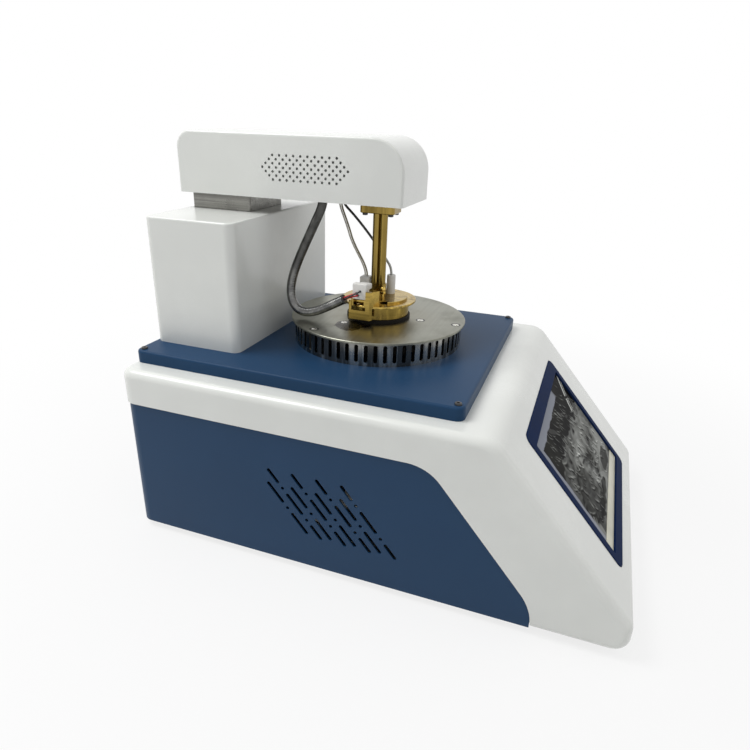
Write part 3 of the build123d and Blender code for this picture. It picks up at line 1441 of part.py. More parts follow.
with BuildPart() as bearing_block:
    with BuildSketch(level(SLEEVE_BOTTOM)):
        with Locations((0, (BLOCK_FRONT + BLOCK_REAR) / 2)):
            RectangleRounded(SLEEVE_WIDTH - 2 * SLEEVE_WALL, BLOCK_REAR - BLOCK_FRONT, 1.5)
        with Locations((-ROD_X, ROD_Y), (ROD_X, ROD_Y)):
            Circle(ROD_RADIUS + RUNNING_FIT, mode=Mode.SUBTRACT)
    extrude(amount=BLOCK_HEIGHT)

with BuildPart() as guide_rods:
    with BuildSketch(level(DECK_TOP)):
        with Locations((-ROD_X, ROD_Y), (ROD_X, ROD_Y)):
            Circle(ROD_RADIUS)
    extrude(amount=ROD_TOP - DECK_TOP)

PITCH_LINE = RACK_BACK + RACK_DEPTH - RACK_MODULE
PINION_Y = PITCH_LINE + RACK_MODULE * PINION_TEETH / 2
RACK_BOTTOM = DECK_TOP + 2.2


def rack_points():
    """Outline of the rack in the YZ plane, with a gap opposite the pinion's middle."""
    pitch = pi * RACK_MODULE
    slope = tan(radians(20))
    root = PITCH_LINE - 1.25 * RACK_MODULE
    tip = PITCH_LINE + 0.95 * RACK_MODULE
    half_pitch = pitch / 4 - 0.1
    points = [(RACK_BACK, ARM_BOTTOM), (RACK_BACK, RACK_BOTTOM), (root, RACK_BOTTOM)]
    first = ceil((RACK_BOTTOM + 1.5 - PINION_Z) / pitch - 0.5)
    count = int((ARM_BOTTOM - 6.0 - RACK_BOTTOM) / pitch)
    for tooth in range(first, first + count):
        middle = PINION_Z + (tooth + 0.5) * pitch
        half_root = half_pitch + (PITCH_LINE - root) * slope
        half_tip = half_pitch - (tip - PITCH_LINE) * slope
        points.append((root, middle - half_root))
        points.append((tip, middle - half_tip))
        points.append((tip, middle + half_tip))
        points.append((root, middle + half_root))
    points.append((root, ARM_BOTTOM))
    return points


with BuildPart() as lift_rack:
    with BuildSketch(facing_right(RACK_X[0])):
        with BuildLine():
            Polyline(*rack_points(), close=True)
        make_face()
    extrude(amount=RACK_X[1] - RACK_X[0])

PINION_PLANE = Plane(origin=(RACK_X[0], PINION_Y, PINION_Z), x_dir=(0, -1, 0), z_dir=(1, 0, 0))
PINION_SHAFT = 2.5

with BuildPart() as lift_pinion:
    with BuildSketch(PINION_PLANE):
        with BuildLine():
            Polyline(*gear_points(RACK_MODULE, PINION_TEETH, 0.2), close=True)
        make_face()
    extrude(amount=RACK_X[1] - RACK_X[0])
    with BuildSketch(PINION_PLANE):
        Circle(5.0)
    extrude(amount=RACK_X[1] - RACK_X[0] + 6)
    with BuildSketch(PINION_PLANE):
        Circle(PINION_SHAFT)
    extrude(amount=4.0 - RACK_X[0])

with BuildPart() as lift_mast:
    with BuildSketch(level(DECK_TOP)):
        with Locations((10, PINION_Y - 8)):
            Rectangle(40, 36)
    extrude(amount=MAST_FOOT)
    with BuildSketch(facing_right(-MAST_THICK)):
        with BuildLine():
            Polyline(
                (PINION_Y - 20, DECK_TOP),
                (PINION_Y + 10, DECK_TOP),
                (PINION_Y + 10, ROD_TOP),
                (PINION_Y - 20, ROD_TOP),
                close=True,
            )
        make_face()
        with Locations((PINION_Y, PINION_Z)):
            Circle(PINION_SHAFT + CLEARANCE, mode=Mode.SUBTRACT)
        with Locations((PINION_Y - 5, DECK_TOP + 35), (PINION_Y - 5, DECK_TOP + 62)):
            SlotOverall(16, 12, mode=Mode.SUBTRACT)
    extrude(amount=MAST_THICK)
    with BuildSketch(level(ROD_TOP - 5)):
        with Locations((0, (PINION_Y + BLOCK_REAR) / 2 - 1)):
            Rectangle(60, BLOCK_REAR - PINION_Y)
        with Locations((-ROD_X, ROD_Y), (ROD_X, ROD_Y)):
            Circle(ROD_RADIUS + 0.02, mode=Mode.SUBTRACT)
    extrude(amount=5)

with BuildPart() as lift_motor:
    with BuildSketch(facing_right(0)):
        with Locations((PINION_Y, PINION_Z)):
            Rectangle(LIFT_MOTOR[1], LIFT_MOTOR[1])
    extrude(amount=LIFT_MOTOR[0])
    chamfer(lift_motor.edges().filter_by(Axis.X), 2.5)
    with BuildSketch(facing_right(0)):
        with Locations((PINION_Y, PINION_Z)):
            Circle(PINION_SHAFT + RUNNING_FIT)
    extrude(amount=4.4, mode=Mode.SUBTRACT)

# ================================================================ hose, cables and wires
HOSE_END = Vector(*HOSE_POINTS[-2]) - Vector(*HOSE_POINTS[-1])

with BuildPart() as flexible_hose:
    add(cord(HOSE_POINTS, HOSE_RADIUS))
    with BuildSketch(Plane(origin=HOSE_POINTS[-1], z_dir=HOSE_END)):
        Circle(HOSE_BORE)
    extrude(amount=HOSE_OPEN, mode=Mode.SUBTRACT)

with BuildPart() as sensor_cable:
    for side in (-1, 1):
        shift = side * SENSOR_WIRE_SPREAD
        add(cord([(x, y + shift, z) for x, y, z in SENSOR_POINTS], SENSOR_WIRE_RADIUS))

with BuildPart() as detector_cable:
    add(cord(DETECTOR_POINTS, DETECTOR_CABLE_RADIUS))

with BuildPart() as igniter_wires:
    for points in IGNITER_WIRES:
        add(cord(points, WIRE_RADIUS))

# ================================================================ export
PIECES = {
    "upper_housing": upper_housing,
    "left_side_panel": left_side_panel,
    "right_side_panel": right_side_panel,
    "rear_panel": rear_panel,
    "base_pan": base_pan,
    "rubber_feet": rubber_feet,
    "power_supply": power_supply,
    "power_inlet": power_inlet,
    "power_rocker": power_rocker,
    "cooling_fan": cooling_fan,
    "fan_rotor": fan_rotor,
    "fan_guard": fan_guard,
    "display_bezel": display_bezel,
    "touch_screen": touch_screen,
    "display_module": display_module,
    "control_board": control_board,
    "deck_plate": deck_plate,
    "deck_screws": deck_screws,
    "guard_ring": guard_ring,
    "heater_top_plate": heater_top_plate,
    "top_plate_screws": top_plate_screws,
    "plate_pillars": plate_pillars,
    "heater_block": heater_block,
    "band_heater": band_heater,
    "insulation_sleeve": insulation_sleeve,
    "test_cup": test_cup,
    "cup_seat_ring": cup_seat_ring,
    "lid": lid,
    "lid_cover": lid_cover,
    "column_foot": column_foot,
    "head_column": head_column,
    "head_flange": head_flange,
    "head_screws": head_screws,
    "shaft_bushes": shaft_bushes,
    "temperature_probe": temperature_probe,
    "flash_detector": flash_detector,
    "igniter_bracket": igniter_bracket,
    "igniter_block": igniter_block,
    "igniter_arm": igniter_arm,
    "stirrer": stirrer,
    "shutter": shutter,
    "shutter_gear": shutter_gear,
    "drive_sector": drive_sector,
    "motor_bracket": motor_bracket,
    "stir_motor": stir_motor,
    "shutter_motor": shutter_motor,
    "arm_cover": arm_cover,
    "arm_base_plate": arm_base_plate,
    "column_cover": column_cover,
    "lift_sleeve": lift_sleeve,
    "bearing_block": bearing_block,
    "guide_rods": guide_rods,
    "lift_rack": lift_rack,
    "lift_pinion": lift_pinion,
    "lift_mast": lift_mast,
    "lift_motor": lift_motor,
    "flexible_hose": flexible_hose,
    "sensor_cable": sensor_cable,
    "detector_cable": detector_cable,
    "igniter_wires": igniter_wires,
}

for name, piece in PIECES.items():
    piece.part.label = name
    export_step(piece.part, f"parts/{name}.step")
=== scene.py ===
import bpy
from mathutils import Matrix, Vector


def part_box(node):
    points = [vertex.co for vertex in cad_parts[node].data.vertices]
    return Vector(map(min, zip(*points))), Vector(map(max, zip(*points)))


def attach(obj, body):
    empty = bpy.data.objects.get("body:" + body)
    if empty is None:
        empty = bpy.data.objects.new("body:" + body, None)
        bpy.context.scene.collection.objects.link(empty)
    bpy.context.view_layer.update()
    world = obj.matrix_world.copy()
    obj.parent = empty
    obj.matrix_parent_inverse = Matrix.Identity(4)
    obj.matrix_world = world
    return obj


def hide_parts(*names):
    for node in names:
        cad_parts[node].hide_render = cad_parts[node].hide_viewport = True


bl_info = {
    "name": "Flash Point Tester",
    "version": (1, 0, 0),
    "blender": (4, 5, 0),
    "location": "View3D > Sidebar > Tester",
    "description": "Finishes a bench closed-cup flash point tester around its packed frame",
    "category": "Object",
}

from math import cos, pi, radians, sin

import bmesh
import bpy
import numpy as np
from bpy.props import FloatProperty, FloatVectorProperty, IntProperty, PointerProperty
from mathutils import Matrix, Vector

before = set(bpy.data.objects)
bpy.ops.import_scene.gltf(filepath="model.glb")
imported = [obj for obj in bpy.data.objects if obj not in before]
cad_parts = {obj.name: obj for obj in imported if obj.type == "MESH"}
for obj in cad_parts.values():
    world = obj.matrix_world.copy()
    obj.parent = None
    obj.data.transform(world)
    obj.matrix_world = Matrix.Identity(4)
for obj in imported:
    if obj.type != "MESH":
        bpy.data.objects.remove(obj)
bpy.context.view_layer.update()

MM = 0.001
TURN = 2 * pi

# ---------------------------------------------------------------- places read from the frame
PLATE_LOW, PLATE_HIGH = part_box("heater_top_plate")
CUP_AXIS = ((PLATE_LOW.x + PLATE_HIGH.x) / 2, (PLATE_LOW.y + PLATE_HIGH.y) / 2)
PLATE_TOP = PLATE_HIGH.z
PLATE_SCREWS = [
    (CUP_AXIS[0] + reach * cos(radians(a)), CUP_AXIS[1] + reach * sin(radians(a)))
    for reach in (0.0844, 0.0466)
    for a in (-89.5, 30.5, 150.5)
]
BRACKET_REFLECTION = (-0.046, 0.052)  # middle of the painted reflection of the igniter bracket on the plate, beside the cup
STUD = (-0.0140, 0.0300)  # axis of the stud on the lid
SLEEVE_TOP = 0.289  # where the detector cable's pale sleeve starts
DECK_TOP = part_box("deck_plate")[1].z
ARM_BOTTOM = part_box("arm_cover")[0].z

# The sloping front: its upper end, its tilt from the table, and places down it.
SLOPE_TILT = radians(48.4)
SLOPE_TOP = np.array((0.0, -0.119, 0.1845))
SLOPE_DOWN = np.array((0.0, -cos(SLOPE_TILT), -sin(SLOPE_TILT)))
SLOPE_OUT = np.array((0.0, -sin(SLOPE_TILT), cos(SLOPE_TILT)))
SCREEN_MIDDLE = 0.1063
SCREEN_SIZE = (0.190, 0.126)
GLASS_LEVEL = -0.0015
# Patches of painted reflection on the film: place and half size across and down the display, tilt,
# brightness.
GLARE_PATCHES = (
    (0.93, 0.80, 0.06, 0.13, 0.0, 0.40),
    (0.58, 0.93, 0.09, 0.035, 0.0, 0.34),
    (0.06, 0.90, 0.06, 0.10, 0.2, 0.30),
    (0.60, 0.20, 0.16, 0.025, 0.75, 0.07),
    (0.36, 0.19, 0.10, 0.02, 0.9, 0.06),
)
# Patches where the painted reflection is dimmed, in the same columns.
DIMMED_GLARE_PATCHES = ((0.80, 0.93, 0.12, 0.05, 0.0, 0.0), (0.30, 0.93, 0.17, 0.045, 0.0, 0.0))

# Routes of the hose and the cables, in millimetres, as the frame's solids follow them.
HOSE_ROUTE = (
    (-28.0, 90.4, 342.6), (-28.6, 91.0, 334.5), (-33.0, 97.6, 318.0), (-37.0, 105.4, 299.5),
    (-40.5, 113.4, 280.0), (-43.0, 118.6, 264.0), (-44.6, 120.4, 249.0), (-45.6, 117.4, 236.6),
    (-46.0, 108.6, 229.4), (-46.3, 96.0, 230.0), (-46.4, 82.0, 235.9), (-46.4, 59.1, 248.9),
)
SENSOR_ROUTE = (
    (0.3, 85.0, 342.6), (0.3, 85.0, 334.0), (0.0, 75.4, 312.4), (0.0, 70.2, 296.5),
    (0.3, 53.9, 270.6), (0.3, 53.9, 263.4),
)
DETECTOR_ROUTE = (
    (12.5, 88.0, 342.6), (12.5, 88.0, 334.5), (12.7, 72.5, 321.0), (12.8, 52.5, 299.5),
    (12.6, 36.5, 279.5), (12.5, 30.1, 270.5), (12.5, 30.1, 262.9),
)
IGNITER_ROUTES = (
    ((-46.4, 62.4, 248.6), (-45.4, 55.0, 252.9), (-42.8, 48.8, 254.4), (-40.0, 48.8, 254.4)),
    ((-45.2, 61.3, 246.8), (-44.6, 54.6, 250.6), (-42.8, 47.2, 252.4), (-40.0, 47.2, 252.4)),
    ((-47.6, 61.4, 247.0), (-46.8, 54.8, 251.6), (-43.6, 45.0, 256.6), (-40.0, 45.0, 256.6)),
)


# ---------------------------------------------------------------- settings
def colour(name, description, default):
    return FloatVectorProperty(
        name=name, description=description, subtype="COLOR", size=3, min=0, max=1, default=default
    )


def length(name, description, default, low=0.0, high=0.1):
    return FloatProperty(name=name, description=description, subtype="DISTANCE", unit="LENGTH",
                         precision=5, min=low, max=high, default=default)


class TesterPaint(bpy.types.PropertyGroup):
    white: colour("White", "Powder coat of the housing, arm and column", (0.785, 0.80, 0.768))
    navy: colour("Navy", "Powder coat of the deck and the panels", (0.014, 0.050, 0.116))
    bezel: colour("Bezel", "Moulded frame of the display", (0.006, 0.018, 0.066))
    peel: length("Peel", "Size of the ripples in the powder coat", 0.0016)


class TesterMetal(bpy.types.PropertyGroup):
    brass: colour("Brass", "Bright machined brass", (0.50, 0.35, 0.09))
    tarnish: colour("Tarnish", "Brass where it has dulled", (0.20, 0.14, 0.045))
    steel: colour("Steel", "Brushed stainless steel", (0.40, 0.395, 0.365))
    grain: length("Grain", "Width of a brushing stroke", 0.0004)


class TesterHose(bpy.types.PropertyGroup):
    radius: length("Radius", "Outer radius of the hose", 0.0047)
    pitch: length("Pitch", "Advance of the wound strip in a turn", 0.0018)
    ridge: length("Ridge", "Height of the ridges", 0.00022)
    samples: IntProperty(name="Samples", description="Rings in one turn", min=4, default=7)


class TesterScreen(bpy.types.PropertyGroup):
    border: length("Border", "Width of the pale border of the display", 0.0115)
    wrinkle: length("Wrinkle", "Height of the folds in the protective film", 0.0004)
    bubbles: IntProperty(name="Bubbles", description="Blisters under the film", default=230)


class TesterStage(bpy.types.PropertyGroup):
    floor: colour("Floor", "Plain pale floor", (0.80, 0.80, 0.80))
    key: FloatProperty(
        name="Key", description="Power of the overhead lamp", unit="POWER", default=17
    )
    fill: FloatProperty(name="Fill", description="Power of the front lamp", unit="POWER", default=2)
    ambient: FloatProperty(name="Ambient", description="Light from level with it", default=0.27)
    zenith: FloatProperty(name="Zenith", description="Light from straight above", default=0.80)


# ---------------------------------------------------------------- shader maths
def arithmetic(operation, swapped=False):
    """A method of Value that adds one Math node."""
    def method(self, other=0.0):
        first, second = (other, self) if swapped else (self, other)
        return self.math(operation, first, second)
    return method


class Value:
    """A node's output, on which Python arithmetic adds Math nodes."""

    def __init__(self, finish, socket):
        self.finish = finish
        self.socket = socket

    def math(self, operation, first, second=0.0):
        return self.finish.node("ShaderNodeMath", {"operation": operation}, {0: first, 1: second})

    __add__ = __radd__ = arithmetic("ADD")
    __sub__ = arithmetic("SUBTRACT")
    __rsub__ = arithmetic("SUBTRACT", swapped=True)
    __mul__ = __rmul__ = arithmetic("MULTIPLY")
    __pow__ = arithmetic("POWER")
    __abs__ = arithmetic("ABSOLUTE")

    def step(self, low, high):
        """0 below low, 1 above high, and a smooth rise between them."""
        feeds = {"Value": self, "From Min": low, "From Max": high}
        return self.finish.node("ShaderNodeMapRange", {"interpolation_type": "SMOOTHSTEP"}, feeds)


class Finish:
    """A material whose nodes are added one call at a time."""

    def __init__(self, name, tree=None):
        if not tree:
            self.material = bpy.data.materials.new(name)
            self.material.use_nodes = True
            tree = self.material.node_tree
        self.tree = tree
        self.tree.nodes.clear()
        self.place = self.node("ShaderNodeTexCoord", output="Object")

    def node(self, kind, settings=None, feeds=None, output=0):
        """Adds a node, sets it up, feeds its sockets numbers or links, and gives its output."""
        made = self.tree.nodes.new(kind)
        for key, value in (settings or {}).items():
            setattr(made, key, value)
        for key, value in (feeds or {}).items():
            if isinstance(value, Value):
                self.tree.links.new(value.socket, made.inputs[key])
            else:
                made.inputs[key].default_value = value
        return Value(self, made.outputs[output]) if made.outputs else None

    def noise(self, size, detail=2.0, stretch=(1, 1, 1), place=None):
        """Noise from 0 to 1 with blotches of that size in metres, longer along a stretched axis."""
        scale = tuple(1 / (size * s) for s in stretch)
        spread = self.node(
            "ShaderNodeMapping", None, {"Vector": place or self.place, "Scale": scale}
        )
        return self.node(
            "ShaderNodeTexNoise", None, {"Vector": spread, "Scale": 1.0, "Detail": detail}
        )

    def axes(self, place=None):
        """The three coordinates, each as a value."""
        feeds = {0: place or self.place}
        return [self.node("ShaderNodeSeparateXYZ", None, feeds, output=i) for i in range(3)]

    def seen(self):
        """1 for rays from the camera, a reflection or a transparent piece, and 0 for light."""
        rays = [self.node("ShaderNodeLightPath", output=ray) for ray in
                ("Is Camera Ray", "Is Glossy Ray", "Is Transmission Ray")]
        return (rays[0] + rays[1] + rays[2]).step(0.0, 1.0)

    def distance(self, x, y, place):
        x, y = x - place[0], y - place[1]
        return (x * x + y * y) ** 0.5

    def turned(self, axis, lever=0.004):
        """Coordinates (distance from the upright axis, angle times the lever, height)."""
        x, y, z = self.axes()
        reach = self.distance(x, y, axis)
        angle = y.math("ARCTAN2", y - axis[1], x - axis[0]) * lever
        return self.node("ShaderNodeCombineXYZ", None, {0: reach, 1: angle, 2: z})

    def mix(self, factor, first, second):
        return self.node(
            "ShaderNodeMix",
            {"data_type": "RGBA"},
            {0: factor, 6: (*first, 1.0) if not isinstance(first, Value) else first,
             7: (*second, 1.0) if not isinstance(second, Value) else second},
            output=2,
        )

    def bump(self, height, depth, strength=1.0):
        """Relief of that depth in metres where height goes from 0 to 1."""
        return self.node(
            "ShaderNodeBump", None, {"Strength": strength, "Distance": depth, "Height": height}
        )

    def surface(self, base, roughness, metallic=0.0, normal=None, fixed=None):
        """Ends the material in one Principled shader and gives the material."""
        feeds = {
            "Base Color": base if isinstance(base, Value) else (*base, 1.0),
            "Roughness": roughness,
            "Metallic": metallic,
        }
        if normal:
            feeds["Normal"] = normal
        feeds.update(fixed or {})
        shader = self.node("ShaderNodeBsdfPrincipled", None, feeds)
        self.node("ShaderNodeOutputMaterial", None, {"Surface": shader})
        return self.material


def scaled(tint, amount):
    return tuple(min(1.0, c * amount) for c in tint)


def powder_coat(name, tint, roughness, peel, gloss=0.0, shine=0.5, painted_shade_radius=0.0):
    """Powder coat: rippled like orange peel, with faint clouds in its colour and sheen.

    Within the given radius of the cup's axis it is painted near black: painted shade inside the guard ring.
    """
    f = Finish(name)
    cloud = f.noise(0.09, 3.0)
    ripple = f.noise(peel, 1.0)
    dust = f.noise(peel / 5, 2.0)
    base = f.mix(cloud.step(0.3, 0.75), scaled(tint, 0.96), scaled(tint, 1.02))
    # painted shade: inside the guard ring the deck is coloured near black
    if painted_shade_radius:
        x, y, _ = f.axes()
        inside = 1.0 - f.distance(x, y, CUP_AXIS).step(painted_shade_radius - 0.002, painted_shade_radius)
        base = f.mix(inside * (cloud * 0.1 + 0.88), base, (0.006, 0.006, 0.007))
    rough = cloud * 0.06 + dust * 0.05 + (roughness - 0.05)
    normal = f.bump(ripple + dust * 0.15, 0.00005, 0.35)
    return f.surface(
        base, rough, 0.0, normal,
        {"Coat Weight": gloss, "Coat Roughness": 0.12, "Specular IOR Level": shine},
    )


def moulded(name, tint, roughness, grain=0.0007, depth=0.00004, shine=0.5):
    """Moulded plastic or rubber: fine pebbled grain and slightly uneven sheen."""
    f = Finish(name)
    pebble = f.noise(grain, 2.0)
    cloud = f.noise(0.03, 2.0)
    base = f.mix(cloud.step(0.3, 0.7), scaled(tint, 0.90), scaled(tint, 1.08))
    rough = pebble * 0.10 + cloud * 0.06 + (roughness - 0.08)
    return f.surface(base, rough, 0.0, f.bump(pebble, depth, 0.5), {"Specular IOR Level": shine})


def brushed(name, tint, roughness, grain, direction, stain=0.12):
    """Brushed metal: strokes a few centimetres long on the given axis, and dull patches."""
    f = Finish(name)
    stretch = [1.0, 1.0, 1.0]
    stretch["XYZ".index(direction)] = 110.0
    stroke = f.noise(grain, 2.0, stretch)
    broad = f.noise(grain * 5, 2.0, stretch)
    patch = f.noise(0.022, 3.0).step(0.35, 0.75)
    tone = stroke * 0.5 + broad * 0.5
    base = f.mix(tone.step(0.3, 0.7), scaled(tint, 0.80 - stain), scaled(tint, 1.12))
    base = f.mix(patch * stain * 2.0, base, scaled(tint, 0.62))
    rough = tone * 0.16 + patch * 0.10 + (roughness - 0.12)
    return f.surface(base, rough, 1.0, f.bump(stroke, 0.00002, 0.5))


def turned_metal(name, bright, dull, roughness, grain, axis):
    """Turned metal: fine rings about the upright axis, with tarnish in soft clouds and painted glints."""
    f = Finish(name)
    lathe = f.turned(axis)
    ring = f.noise(grain, 1.0, (1.0, 60.0, 1.0), lathe)
    glint = f.noise(0.010, 2.0, (1.0, 0.06, 3.0), lathe).step(0.50, 0.72)
    cloud = f.noise(0.012, 4.0)
    speck = f.noise(0.0022, 2.0)
    dulled = (cloud * 0.75 + speck * 0.25).step(0.42, 0.72)
    base = f.mix(dulled * 0.8, scaled(bright, 0.86), dull)
    # painted highlight: glints in bands about the axis
    base = f.mix(glint * 0.7, base, scaled(bright, 1.45))
    base = f.mix(ring.step(0.35, 0.7) * 0.25, base, scaled(dull, 0.9))
    rough = ring * 0.10 + dulled * 0.14 + (roughness - 0.08)
    return f.surface(base, rough, 1.0, f.bump(ring, 0.000018, 0.6))


def plate_steel(name, tint, grain):
    """The hot plate: steel brushed across, straw coloured by heat, with a painted reflection of the igniter
    bracket beside the cup.

    Dark rings are painted shade in the gaps round the countersunk screws.
    """
    f = Finish(name)
    x, y, _ = f.axes()
    stroke = f.noise(grain, 2.0, (90.0, 1.0, 1.0))
    broad = f.noise(grain * 9, 2.0, (30.0, 1.0, 1.0))
    smudge = f.noise(0.030, 4.0).step(0.40, 0.72)
    tone = stroke * 0.4 + broad * 0.6
    base = f.mix(tone.step(0.3, 0.7), scaled(tint, 0.62), scaled(tint, 0.78))
    base = f.mix(smudge * 0.35, base, scaled(tint, 0.46))
    reach = f.distance(x, y, CUP_AXIS)
    heat = (1.0 - reach.step(0.030, 0.070)) * (f.noise(0.016, 3.0) * 0.7 + 0.45)
    base = f.mix(heat * 0.40, base, (0.20, 0.165, 0.09))
    # painted reflection of the igniter bracket: a dark patch with a ragged edge beside the cup
    ragged = (f.noise(0.012, 3.0) - 0.5) * 0.022
    bracket_reflection = 1.0 - (f.distance(x, y, BRACKET_REFLECTION) + ragged).step(0.0145, 0.0165)
    base = f.mix(bracket_reflection * 0.97, base, (0.016, 0.012, 0.007))
    # painted shade in the gap round each countersunk screw
    for place in PLATE_SCREWS:
        off = abs(f.distance(x, y, place) - 0.0039)
        base = f.mix((1.0 - off.step(0.0008, 0.0013)) * 0.97, base, (0.008, 0.008, 0.008))
    rough = tone * 0.12 + smudge * 0.12 + (0.24 - 0.06 * bracket_reflection)
    return f.surface(base, rough, 1.0, f.bump(stroke, 0.00002, 0.5))


def ring_steel(name, tint):
    """The slotted guard ring: rolled steel with painted reflections in bright and dark patches side by side,
    and painted shade under the plate.
    """
    f = Finish(name)
    _, _, z = f.axes()
    around = f.turned(CUP_AXIS, 0.09)
    patch = f.noise(0.007, 1.5, (1.0, 1.0, 12.0), around)
    fine = f.noise(0.0007, 2.0, (1.0, 1.0, 40.0), around)
    shade = z.step(PLATE_LOW.z - 0.009, PLATE_LOW.z)
    # painted reflection: bright and dark upright patches round the ring
    bright = (patch * 0.8 + fine * 0.2).step(0.44, 0.60)
    base = f.mix(bright, scaled(tint, 0.34), scaled(tint, 1.35))
    # painted shade: darker just under the plate
    base = f.mix(shade * 0.55, base, scaled(tint, 0.15))
    return f.surface(base, fine * 0.12 + 0.16, 1.0, f.bump(patch, 0.0004, 0.4))


def glass_dark(name):
    """Dark display glass with faint finger smears."""
    f = Finish(name)
    smear = f.noise(0.018, 4.0, (1.0, 1.0, 2.5)).step(0.45, 0.75)
    base = f.mix(smear, (0.010, 0.012, 0.015), (0.020, 0.023, 0.028))
    return f.surface(base, smear * 0.12 + 0.05, 0.0, None, {"IOR": 1.5})


def film_skin(name, border):
    """Protective film over the display: painted reflection (glare) where its skin stands proud, and a pale
    border.
    """
    f = Finish(name)
    x, y, z = f.axes()
    glare = f.node("ShaderNodeAttribute", {"attribute_name": "glare"}, output=2)
    down = (y - SLOPE_TOP[1]) * SLOPE_DOWN[1] + (z - SLOPE_TOP[2]) * SLOPE_DOWN[2]
    wobble = (f.noise(0.02, 3.0) - 0.5) * 0.006
    half = SCREEN_SIZE[0] / 2 - border
    top = SCREEN_MIDDLE - SCREEN_SIZE[1] / 2 + border
    near = (wobble - x).step(half - 0.0006, half + 0.0006)
    upper = 1.0 - (down + wobble).step(top - 0.0006, top + 0.0006)
    upper = upper * (1.0 - x.step(0.040, 0.046))
    edge = near.math("MAXIMUM", near, upper)
    cloud = f.noise(0.03, 3.0).step(0.35, 0.7)
    scuff = f.noise(0.0011, 3.0, (1.0, 9.0, 9.0)).step(0.52, 0.8)
    picture = f.mix(cloud, (0.003, 0.003, 0.003), (0.016, 0.016, 0.013))
    # painted reflection: the glare attribute lifts the dark picture towards pale grey
    picture = f.mix(glare, picture, (0.78, 0.80, 0.76))
    base = f.mix(edge * 0.85, picture, (0.34, 0.36, 0.42))
    # scuffs, paler where the painted reflection is
    base = f.mix(scuff * (glare * 0.3 + 0.03), base, (0.30, 0.31, 0.32))
    rough = scuff * 0.18 + cloud * 0.06 + 0.10
    ripple = f.noise(0.005, 3.0)
    return f.surface(base, rough, 0.0, f.bump(ripple, 0.0003, 0.4), {
        "Specular IOR Level": 0.0, "Coat Weight": 0.12, "Coat Roughness": 0.06})


def sleeved(name):
    """Cable in black insulation whose lower end is in a pale sleeve."""
    f = Finish(name)
    _, _, z = f.axes()
    weave = f.noise(0.0005, 2.0)
    pale = 1.0 - z.step(SLEEVE_TOP - 0.0003, SLEEVE_TOP + 0.0003)
    base = f.mix(weave, (0.014, 0.014, 0.013), (0.032, 0.031, 0.029))
    base = f.mix(pale, base, (0.46, 0.47, 0.45))
    return f.surface(base, weave * 0.1 + 0.32, 0.0, f.bump(weave, 0.00003, 0.5))


def soldered_board(name):
    """Circuit board: green mask with lighter tracks on a fine grid."""
    f = Finish(name)
    x, _, z = f.axes()
    tracks = abs((x * 900.0).math("SINE", x * 900.0)) * abs((z * 700.0).math("SINE", z * 700.0))
    base = f.mix(tracks.step(0.5, 0.9), (0.01, 0.07, 0.03), (0.03, 0.16, 0.07))
    return f.surface(base, 0.4 - tracks * 0.1)


def wool(name):
    """Mineral wool: matted fibres, coloured near black as painted shade seen through the guard ring's slots.
    """
    f = Finish(name)
    fibre = f.noise(0.0009, 4.0, (6.0, 1.0, 1.0))
    # painted shade: near black fibres behind the guard ring's slots
    base = f.mix(fibre.step(0.3, 0.7), (0.012, 0.011, 0.010), (0.035, 0.032, 0.028))
    return f.surface(base, fibre * 0.1 + 0.85, 0.0, f.bump(fibre, 0.0006, 0.8))


def wound_steel(name):
    """Strip of the hose: steel, nearly black at the top and lighter below."""
    f = Finish(name)
    _, _, z = f.axes()
    patch = f.noise(0.008, 3.0)
    fine = f.noise(0.0005, 2.0)
    # darker towards the top, lighter below
    lower_part = 1.0 - (z + (patch - 0.5) * 0.02).step(0.245, 0.300)
    base = f.mix(patch.step(0.3, 0.75), (0.045, 0.045, 0.043), (0.10, 0.10, 0.095))
    lower_tone = f.mix(patch.step(0.4, 0.7), (0.15, 0.15, 0.15), (0.27, 0.27, 0.26))
    base = f.mix(lower_part * 0.8, base, lower_tone)
    return f.surface(base, fine * 0.10 + 0.16, 1.0, f.bump(fine, 0.00003, 0.3))


# ---------------------------------------------------------------- surfaces
def added(name, data):
    """A new object in the scene that holds the data."""
    made = bpy.data.objects.new(name, data)
    bpy.context.scene.collection.objects.link(made)
    return made


def middle(low, high):
    return [(a + b) / 2 for a, b in zip(low, high)]


def grid_faces(rows, columns, closed_rows, closed_columns, start):
    """Quads between neighbouring points of a grid, joined end to end where it is closed."""
    r = np.arange(rows if closed_rows else rows - 1)[:, None]
    c = np.arange(columns if closed_columns else columns - 1)[None, :]
    r2, c2 = (r + 1) % rows, (c + 1) % columns
    quads = [r * columns + c, r * columns + c2, r2 * columns + c2, r2 * columns + c]
    corners = [np.broadcast_to(q, (r.size, c.size)) for q in quads]
    return start + np.stack(corners, -1).reshape(-1, 4)


class Shell:
    """Grids of points that become one mesh."""

    def __init__(self):
        self.points = []
        self.faces = []
        self.count = 0

    def add(self, points, closed_rows=False, closed_columns=True):
        rows, columns, _ = points.shape
        self.points.append(points.reshape(-1, 3))
        self.faces.append(grid_faces(rows, columns, closed_rows, closed_columns, self.count))
        self.count += rows * columns
        return self

    def piece(self, name, material, body, slot, smooth=40):
        """The object: doubles merged, faces outwards, edges sharper than smooth degrees kept."""
        mesh = bpy.data.meshes.new(name)
        points = np.concatenate(self.points)
        faces = np.concatenate(self.faces)
        mesh.from_pydata(points.tolist(), [], faces.tolist())
        form = bmesh.new()
        form.from_mesh(mesh)
        bmesh.ops.remove_doubles(form, verts=form.verts, dist=1e-6)
        bmesh.ops.dissolve_degenerate(form, edges=form.edges, dist=1e-7)
        bmesh.ops.recalc_face_normals(form, faces=form.faces)
        form.to_mesh(mesh)
        form.free()
        mesh.shade_smooth()
        mesh.set_sharp_from_angle(angle=radians(smooth))
        mesh.materials.append(material)
        made = added(name, mesh)
        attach(made, body)
        return made


